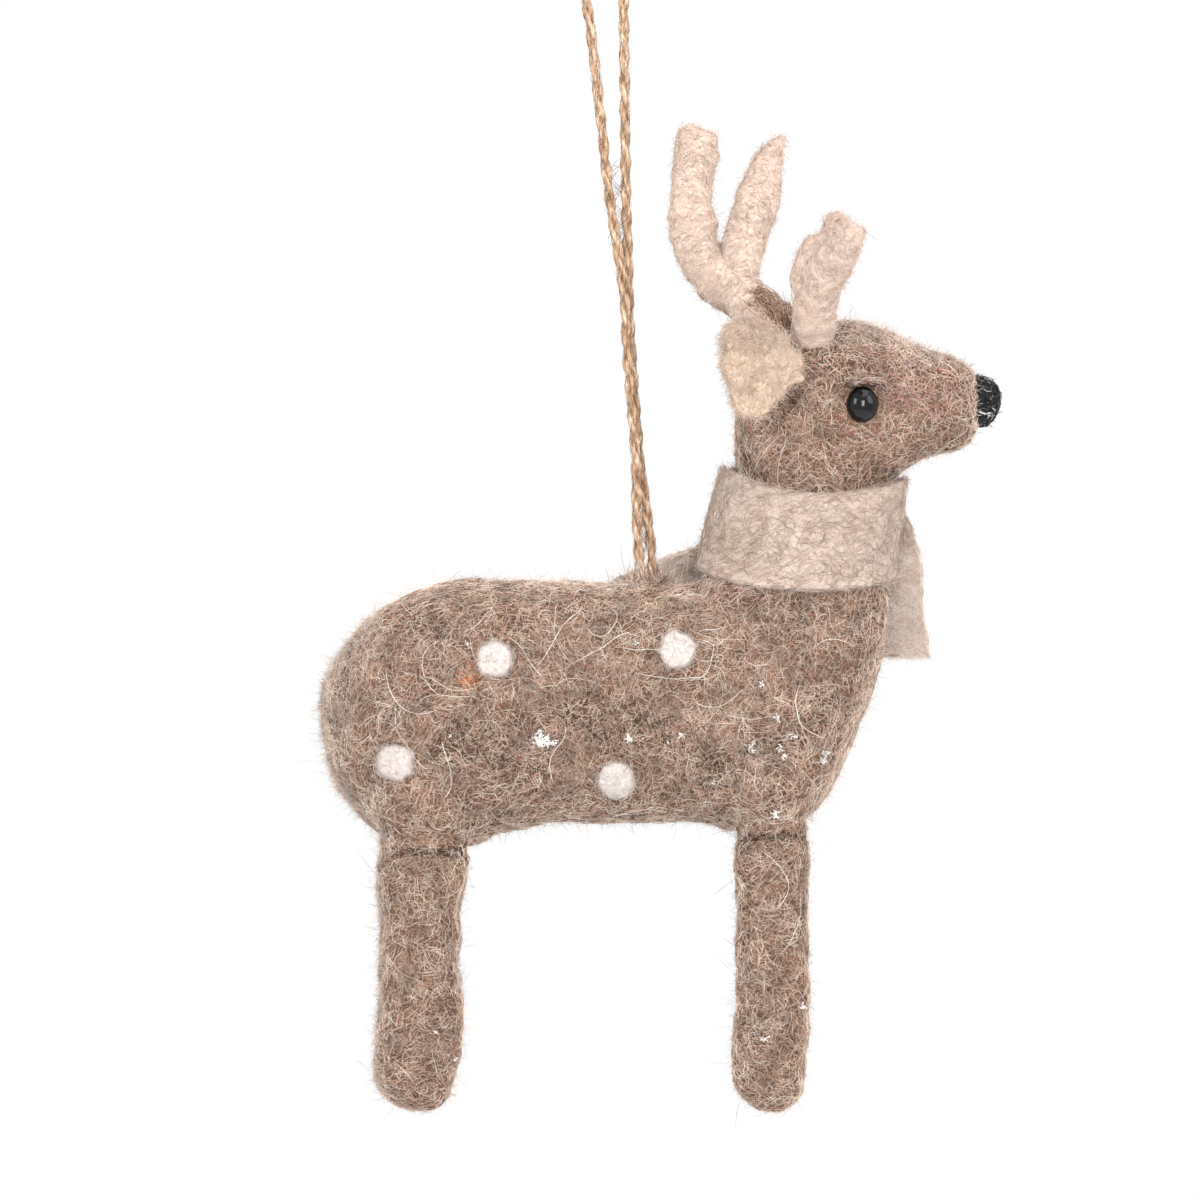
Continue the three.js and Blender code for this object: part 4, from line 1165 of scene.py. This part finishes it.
CURLS = [
    # across and up, and the way that a long pale hair starts out
    (-13, -3, 0, -1), (-9, -6.5, 0.3, -1), (-11.4, -12, 1, 0.4), (-2, -13, 1, -0.1), (-24, -15, -1, -0.2),
    (-37, -12, 0.3, -1), (-12, -20, 0.4, -1), (6, -17, 0.8, -0.5), (17, -9, 0.2, -1), (-29, -22, -0.2, -1),
    (-4, -9.5, 1, -0.7), (21, -14, -0.5, -1), (-9.5, -3.5, -0.1, -1), (-20, -8, 1, -0.6),
]
FLECKS = [
    # across and up, size, and number of fibres
    (-15.7, -21.5, 0.4, 16), (-15.6, -22.3, 0.55, 34), (-14.8, -22.5, 0.5, 26), (-14.0, -22.4, 0.45, 16),
    (-13.4, -22.7, 0.3, 8), (-27.7, -21.6, 0.2, 5), (-3, -22, 0.36, 22), (4.3, -21.5, 0.28, 9),
    (2.3, -22.4, 0.18, 4), (15.5, -14.6, 0.3, 10), (17.6, -19.2, 0.38, 12), (13.9, -23.5, 0.32, 16),
    (14.4, -22.7, 0.2, 6),
    (18.1, -23.3, 0.32, 12), (18.5, -24.4, 0.34, 12), (19.7, -21.6, 0.36, 10), (24.1, -24.3, 0.36, 14),
    (23.9, -25.2, 0.34, 12), (17.3, -32.5, 0.4, 14), (-33.4, -36.3, 0.42, 24), (-31.4, -36.6, 0.35, 10),
    (-30.9, -37.6, 0.35, 8), (-25.5, -9, 0.2, 5), (9, -28, 0.22, 6), (-2, -9, 0.22, 6), (21, -59.5, 0.3, 12),
    (16.1, -64.1, 0.4, 9), (-30, -63, 0.25, 6), (-27.5, -67, 0.25, 5),
]
BELLY = -37.8
# Where the brown hairs start that are painted along the lid's fold as its shade
LID = [(27.0 + 0.1 * k, 27.5 + 0.16 * k) for k in range(4)]
stems = {which: skin for which, kind, skin, _ in antlers if kind == "stem"}
TINTS = [
    # tones, skin, middle across and up, reach across and up, number, way, spread, lengths
    ("orange", torso, (-25.5, -13.9), (0.6, 0.7), 26, (0.6, 0, -1), 0.4, (1.2, 2.4)),
    ("red", head, (27.6, 22.3), (0.7, 0.5), 12, (1, 0, -0.7), 0.4, (0.8, 1.6)),
    ("red", head, (28.9, 20.6), (0.7, 0.4), 10, (1, 0, -0.4), 0.5, (0.8, 1.6)),
    ("rose", head, (32.2, 28.0), (1.6, 0.6), 34, (1, 0, 0.1), 0.4, (1.2, 2.8)),
    ("rose", head, (38.5, 25.5), (3.0, 2.0), 60, (1, 0, -0.5), 0.6, (1.4, 3.4)),
    # Painted shade: dark hairs along the lid's fold
    ("dark", head, (29.6, 27.1), (1.3, 0.12), 60, (1, 0, 0.02), 0.12, (0.9, 2.2)),
    ("long", head, (29.8, 27.8), (1.5, 0.14), 14, (1, 0, 0.05), 0.12, (1.2, 3.0)),
    # Painted shade: dark hairs in the crease in front of the near antler's root
    ("dark", head, (25.8, 34.5), (0.2, 1.8), 22, (0.05, 0, 1), 0.12, (1.4, 2.6)),
    ("long", head, (25.2, 34.2), (0.3, 1.8), 14, (0.1, 0, 1), 0.3, (1.8, 3.2)),
    # Painted shadow: dark hairs under the ear's root
    ("dark", head, (18.3, 26), (1.4, 1.6), 130, (1, 0, -0.7), 0.9, (1.0, 2.4)),
    # Painted shade: dark hairs in the crease at the eye's upper back corner
    ("dark", head, (27.6, 26.4), (0.5, 0.7), 16, (1, 0, 0.8), 0.5, (0.8, 1.6)),
    # Painted shadow: dark hairs along the crease where the body overhangs each near leg
    ("dark", legs["hind_near"], (-29, -38.0), (2.4, 0.25), 190, (1, 0, 0.05), 0.15, (1.0, 2.6)),
    ("dark", legs["front_near"], (17, -35.9), (2.4, 0.22), 110, (1, 0, 0.05), 0.15, (1.0, 2.6)),
    *[("dark", torso, middle, reach, count, (1, 0, -0.3), 1.2, (1.2, 3.0)) for middle, reach, count in (
        ((-1.4, -21), (3.6, 2.2), 130), ((-8.4, -18.5), (2.8, 1.8), 80), ((-27.3, -22), (2.6, 2.0), 70),
        ((-20, -25.5), (2.6, 1.8), 70), ((8, -25), (2.6, 1.8), 70),
    )],
    ("under", stems["far"], (15.6, 39.8), (0.5, 1.0), 70, (0.5, 0, -1), 0.3, (1.4, 3.4)),
    ("under", stems["far"], (17.2, 37.0), (0.5, 1.2), 80, (0.5, 0, -1), 0.3, (1.4, 3.4)),
    ("under", head, (19.4, 33.6), (0.7, 1.4), 110, (0.5, 0, -1), 0.3, (1.4, 3.4)),
    ("under", head, (20.9, 30.4), (0.6, 1.4), 110, (0.4, 0, -1), 0.3, (1.4, 3.0)),
    ("jute", torso, (-0.3, -0.8), (1.1, 0.5), 80, (0.15, 0, -1), 0.25, (1.2, 2.6)),
    ("over", torso, (6.6, 0.2), (1.6, 0.7), 240, (1, 0, 0.6), 0.5, (1.4, 3.2)),
    ("rose", torso, (9.5, -1.4), (3.5, 0.8), 50, (1, 0, 0.4), 0.5, (1.4, 3.4)),
    ("red", torso, (20, -12), (9, 7), 60, (0.3, 0, -1), 0.8, (1.0, 2.6)),
    ("red", torso, (-20, -16), (13, 9), 80, (0.3, 0, -1), 0.8, (1.0, 2.6)),
    ("red", head, (30, 20), (8, 6), 50, (1, 0, -0.2), 0.8, (1.0, 2.4)),
    ("rose", head, (36, 30), (6, 2.4), 60, (1, 0, -0.4), 0.6, (1.2, 3.0)),
]

add_hair("torso_curls", "long", "wool", (0.05, 0.066),
         trail(torso, pinned(torso, [c[:2] for c in CURLS])[0], [(right, 0, up) for _, _, right, up in CURLS],
               (7.0, 13.0), (0.45, 0.75), curl=0.07))
fleck_hairs = []
for x, z, size, count in FLECKS:
    skin = torso if z > BELLY else legs["front_near" if x > 0 else "hind_near"]
    roots = pinned(skin, rng.normal(size=(count, 2)) * size * 0.5 + (x, z))
    fleck_hairs.append(lay(skin, roots, (size * 0.9, size * 2.2), (0.45, 0.8), curl=1.0, steps=4))
add_hair("flecks", "fleck", "white_wool", (0.055, 0.1), *fleck_hairs)
# Painted shade: brown hairs along the fold above each eye stand in for the shade in the crease
add_hair("eyelid_fold_painted_shade", "lid", "wool", (0.07, 0.1),
         drop(trail(head, pinned(head, LID)[0], (1.0, 0, 0.12), (4.6, 6.0), (0.35, 0.6), curl=0.03,
                    wobble=0.05), on_eyes))
for i, (tones, skin, middle, reach, count, way, spread, length) in enumerate(TINTS):
    tuft = lay(skin, pinned(skin, rng.normal(size=(count, 2)) * reach + middle), length, (0.3, 0.6), curl=0.4,
               flow=way, spread=spread)
    add_hair(f"tint_{tones}_{i + 1}", tones, "wool", (0.035, 0.055), drop(tuft, on_eyes))

TUFT_HAIRS, CROWN = 240, 36.0
between = [rng.uniform(15.5, 20, TUFT_HAIRS), rng.uniform(-3, 3.5, TUFT_HAIRS), np.full(TUFT_HAIRS, CROWN)]
add_hair("antler_root_tuft", "under", "wool", (0.026, 0.045),
         loose(head.snap(DEER + np.stack(between, axis=1))[0], (-0.1, 0, 1.0), (2.0, 6.5), spread=0.22))
# Fuzz at the outline in the pale haze tones: real flyaway wool, its paleness partly painted light
for name, skin, way, length in (
    ("rump", torso, (-1, 0, 0.1), (0.6, 1.9)), ("leg_hind_near", legs["hind_near"], (-1, 0, 0), (0.6, 1.9)),
    ("leg_hind_far", legs["hind_far"], (-1, 0, 0), (0.6, 1.9)), ("muzzle", head, (0.25, 0, 1), (0.4, 1.2)),
):
    def open_edge(points):
        """Places that face the fuzz's way and aren't inside another skin."""
        facing = skin.snap(points)[1] @ np.array(way) > 0.66
        return facing & under(head, torso if "leg" in name else legs["hind_near"], scarf)(points)

    add_hair(f"{name}_fuzz", "haze", "wool", (0.014, 0.026),
             coat(skin, 8, open_edge, length, (0.15, 0.5), rise=0.36, curl=1.2, steps=3))

ROOT_HAIRS = 520
fluff = []
for side in SIDES.values():
    places = [PIVOT[0] + rng.normal(0, 1.6, ROOT_HAIRS), side * rng.uniform(1.75, 3.2, ROOT_HAIRS),
              np.full(ROOT_HAIRS, PIVOT[2])]
    roots = torso.snap(np.stack(places, axis=1))
    fluff.append(drop(lay(torso, roots, (0.7, 2.6), (0.1, 0.4), rise=0.9), in_slot))
add_hair("twine_root_fluff", "over", "wool", (0.025, 0.045), *fluff)

add_hair("nose_wool", "nose", "black_wool", (0.035, 0.055),
         lay(nose, nose.scatter(1100, under(head)), (1.2, 3.2), (0.02, 0.22), curl=0.4),
         lay(nose, nose.scatter(260, under(head)), (0.5, 1.5), (0.05, 0.25), rise=0.14))
# Painted highlight: a few white hairs on the nose stand in for the glint of light on it
add_hair("nose_painted_highlight", "fleck", "black_wool", (0.04, 0.07),
         lay(nose, pinned(nose, rng.normal(size=(9, 2)) * (0.3, 0.1) + (47.2, 23.2)), (0.6, 1.2), (0.2, 0.35),
             flow=(1.0, 0, -0.2), spread=0.15))

for name, (skin, x, side, z) in spots.items():
    def outward(points, normals):
        return (points - (x, 0, z)) * (1, 0, 1)

    places, ways = skin.scatter(900)
    rim = np.hypot(places[:, 0] - x, places[:, 2] - z) > SPOT_RADIUS * SPOT_RIM
    face = skin.scatter(700)
    add_hair(f"{name}_wool", "white", "white_wool", (0.02, 0.036),
             lay(skin, face, (0.6, 1.6), (0.02, 0.16), curl=0.3, flow=outward, spread=0.8, rise=0.05,
                 steps=4),
             lay(torso, (places[rim], ways[rim]), (0.4, 1.4), (0.15, 0.4), curl=0.3, flow=outward, spread=0.4,
                 rise=0.14, steps=4))

# Brown fibres at an antler's root: up to where they are at their thickest, and how far they thin out beyond
FULL_REACH, FADE_REACH = 3, {"near": 5, "far": 11}
TIP_REACH = 3.4
# A place across and up on the line behind which brown fibres are painted as shade on the near antler's rear
# side, and how it leans
SHADE_EDGE, SHADE_SLOPE = (27.6, -57.4), 0.28
clear_of_head = under(head)
for which, kind, skin, line in antlers:
    tangents = line_frames(line)[0]

    def around_limb(places, normals):
        nearest = ((places[:, None] - line[None]) ** 2).sum(axis=2).argmin(axis=1)
        return np.cross(tangents[nearest], normals)

    def near_tip(places):
        return np.linalg.norm(places - line[-1], axis=1) < TIP_REACH

    def near_root(places):
        away = np.linalg.norm(places - line[0], axis=1) - FULL_REACH
        return (rng.random(len(places)) * FADE_REACH[which] > away) & clear_of_head(places)

    def painted_shade_edge(places):
        edge = SHADE_EDGE[0] + SHADE_SLOPE * (places[:, 2] - SHADE_EDGE[1])
        return (places[:, 0] < edge) & clear_of_head(places)

    branch = f"antler_{kind}_{which}"
    add_hair(f"{branch}_wool", "cream", "antler_wool", (0.02, 0.036),
             coat(skin, 7.0, clear_of_head, (1.2, 3.2), (0.04, 0.2), curl=0.3, flow=around_limb, spread=0.6,
                  rise=0.05, steps=4))
    add_hair(f"{branch}_fringe", "cream", "antler_wool", (0.015, 0.028),
             coat(skin, 4.8, clear_of_head, (0.6, 1.8), (0.06, 0.28), rise=0.28, curl=0.9, flow=around_limb,
                  spread=0.9, steps=3))
    add_hair(f"{branch}_tip", "cream", "antler_wool", (0.022, 0.038),
             lay(skin, skin.scatter(2000, near_tip), (0.7, 2.0), (0.1, 0.35), rise=0.34, flow=tangents[-1],
                 spread=0.5, steps=4))
    if kind == "stem":
        add_hair(f"antler_{which}_root_fibres", "under", "wool", (0.026, 0.045),
                 lay(skin, skin.scatter(3600, near_root), (1.2, 3.2), (0.1, 0.45), curl=0.5))
    # Painted shade: brown fibres on the near antler's rear side stand in for the shadow that falls there
    if (kind, which) == ("stem", "near"):
        add_hair("antler_near_painted_shade_fibres", "lid", "wool", (0.026, 0.045),
                 lay(skin, skin.scatter(6400, painted_shade_edge), (0.8, 2.4), (0.15, 0.45), curl=0.4, rise=0.1))

# How far to the side a skin may face on an ear's rim, and the height of the rim's ragged top
EAR_RIM, EAR_TOP = 0.6, 3.4
for which, skin in ears.items():
    places, ways = skin.scatter(8000, clear_of_head)
    rim = np.abs(ways[:, 1]) < EAR_RIM
    upper = skin.points[:, 2].max() - EAR_TOP
    add_hair(f"ear_{which}_wool", "ear", "ear_felt", (0.019, 0.034),
             coat(skin, 7.0, clear_of_head, (1.6, 3.8), (0.04, 0.25), curl=0.3, rise=0.1, steps=4),
             coat(skin, 8.0, clear_of_head, (0.7, 2.2), (0.1, 0.4), rise=0.3, curl=0.7, steps=4),
             loose(places[rim], ways[rim], (0.5, 1.5), spread=0.6, steps=4))
    add_hair(f"ear_{which}_rim", "cream", "ear_felt", (0.022, 0.036),
             lay(skin, skin.scatter(2600, lambda p: p[:, 2] > upper), (1.0, 3.0), (0.3, 0.9), rise=0.3,
                 curl=0.4))


NECK_MIDDLE = (29.0, 0, 0)
EDGE_FACING = 0.75
# Where the tails begin: to the far side, and across and up
TAIL_SIDE, FRONT_TAIL, REAR_TAIL = 3.5, (40, -93), (14.5, -91.5)


def along_strip(points, normals):
    """The way round the neck, and along the tails."""
    return np.cross(Z, normals) + (0, 0, 0.01)


def on_edge(points):
    """Near the strip's rims, where its skin faces up or down."""
    return np.abs(scarf.snap(points)[1][:, 2]) > EDGE_FACING


def on_tail(points):
    """On one of the strip's two tails, which hang at the neck's far side."""
    x, y, z = points.T
    front = (x > FRONT_TAIL[0]) & (z < FRONT_TAIL[1])
    rear = (x < REAR_TAIL[0]) & (z < REAR_TAIL[1])
    return (y > TAIL_SIDE) & (front | rear)


scarf_wool = []
# The tails take the lighter tail tones and denser wool: painted light where they hang in the neck's shade
for name, tones, part, density in (
    ("scarf", "scarf", lambda p: ~on_tail(p), 5.0), ("scarf_tail", "tail", on_tail, 8.0),
):
    strip_flow = {"flow": along_strip, "spread": 0.8}
    scarf_wool += add_hair(f"{name}_wool", tones, "scarf_felt", (0.02, 0.038), coat(
        scarf, density, part, (1.8, 5.0), (0.04, 0.2), curl=0.2, wobble=0.2, rise=0.05, flow=along_strip,
        spread=0.6, steps=4))
    places, ways = scarf.scatter(24000, lambda p: on_edge(p) & part(p))
    outward = unit((places - NECK_MIDDLE) * (1, 1, 0))
    scarf_wool += add_hair(
        f"{name}_fringe", tones, "scarf_felt", (0.015, 0.03),
        loose(places, ways * 0.7 + outward * 0.6, (0.4, 1.5), spread=0.5, steps=3),
        coat(scarf, 2.6, part, (0.8, 2.8), (0.08, 0.3), rise=0.2, curl=0.6, steps=3, **strip_flow),
        lay(scarf, (places, ways), (1.0, 3.0), (0.05, 0.3), rise=0.36, curl=0.4, steps=3, **strip_flow))


# Light and stage

HEART = Vector((0.008, 0.0, -0.105))
LAMPS = {
    # place and size in metres, and power
    "key": ((-0.72, -0.5, 0.22), 0.34, 3.0),
    "fill": ((0.1, -0.95, 0.06), 0.34, 5.5),
    "side": ((0.72, -0.45, 0.3), 0.5, 2.9),
    "top": ((0.16, -0.26, 0.62), 0.6, 2.8),
    "back": ((0.35, 0.85, 0.25), 0.6, 6.0),
}
WORLD_LIGHT = 0.46
FULL = (1, 1, 1, 1)
FLOOR_GREY = (0.85, 0.85, 0.85, 1)
FLOOR_GLOW = 0.5
FLOOR_FADE = {"From Min": 0.24, "From Max": 0.4}
FLOOR_Z, FLOOR_REACH = -205.0, 3000

for name, (place, size, power) in LAMPS.items():
    data = bpy.data.lights.new(name, "AREA")
    data.shape = "SQUARE"
    data.size = size
    data.energy = power
    lamp = bpy.data.objects.new(name, data)
    lamp.location = place
    lamp.rotation_euler = (HEART - Vector(place)).to_track_quat("-Z", "Y").to_euler()
    bpy.context.collection.objects.link(lamp)


def seen(tree):
    """1 for rays from the camera, and for those that gloss and glass send out."""
    path = add_node(tree, "LightPath")
    return highest(tree, [path.outputs[f"Is {kind} Ray"] for kind in ("Camera", "Glossy", "Transmission")])


world = bpy.data.worlds.new("world")
bpy.context.scene.world = world
world.use_nodes = True
tree = world.node_tree
feed(tree.nodes["Background"], {"Color": FULL, "Strength": span(tree, seen(tree), WORLD_LIGHT, 1.0)})

# The floor is pale, takes the object's shadow and runs out into the white behind it
floor_finish, tree, shader = new_material("floor")
rays = seen(tree)
feed(shader, {"Base Color": FLOOR_GREY, "Roughness": 0.9, "Specular IOR Level": 0.0, "Emission Color": FULL,
              "Emission Strength": math_node(tree, "MULTIPLY", rays, FLOOR_GLOW)})
away = add_node(tree, "VectorMath", {0: add_node(tree, "TexCoord").outputs["Object"]}, operation="LENGTH")
fade = add_node(tree, "MapRange", {"Value": away.outputs["Value"], **FLOOR_FADE},
                interpolation_type="SMOOTHSTEP")
mix = add_node(tree, "MixShader", {
    "Fac": math_node(tree, "MULTIPLY", fade.outputs["Result"], rays), 1: shader.outputs["BSDF"],
    2: add_node(tree, "Emission", {"Color": FULL}).outputs["Emission"],
})
feed(tree.nodes["Material Output"], {"Surface": mix.outputs["Shader"]})
floor_corners = np.array([(-1, -1, 0), (1, -1, 0), (1, 1, 0), (-1, 1, 0)]) * FLOOR_REACH + Z * FLOOR_Z
floor = add_mesh("floor", floor_corners, [(0, 1, 2, 3)], [floor_finish])
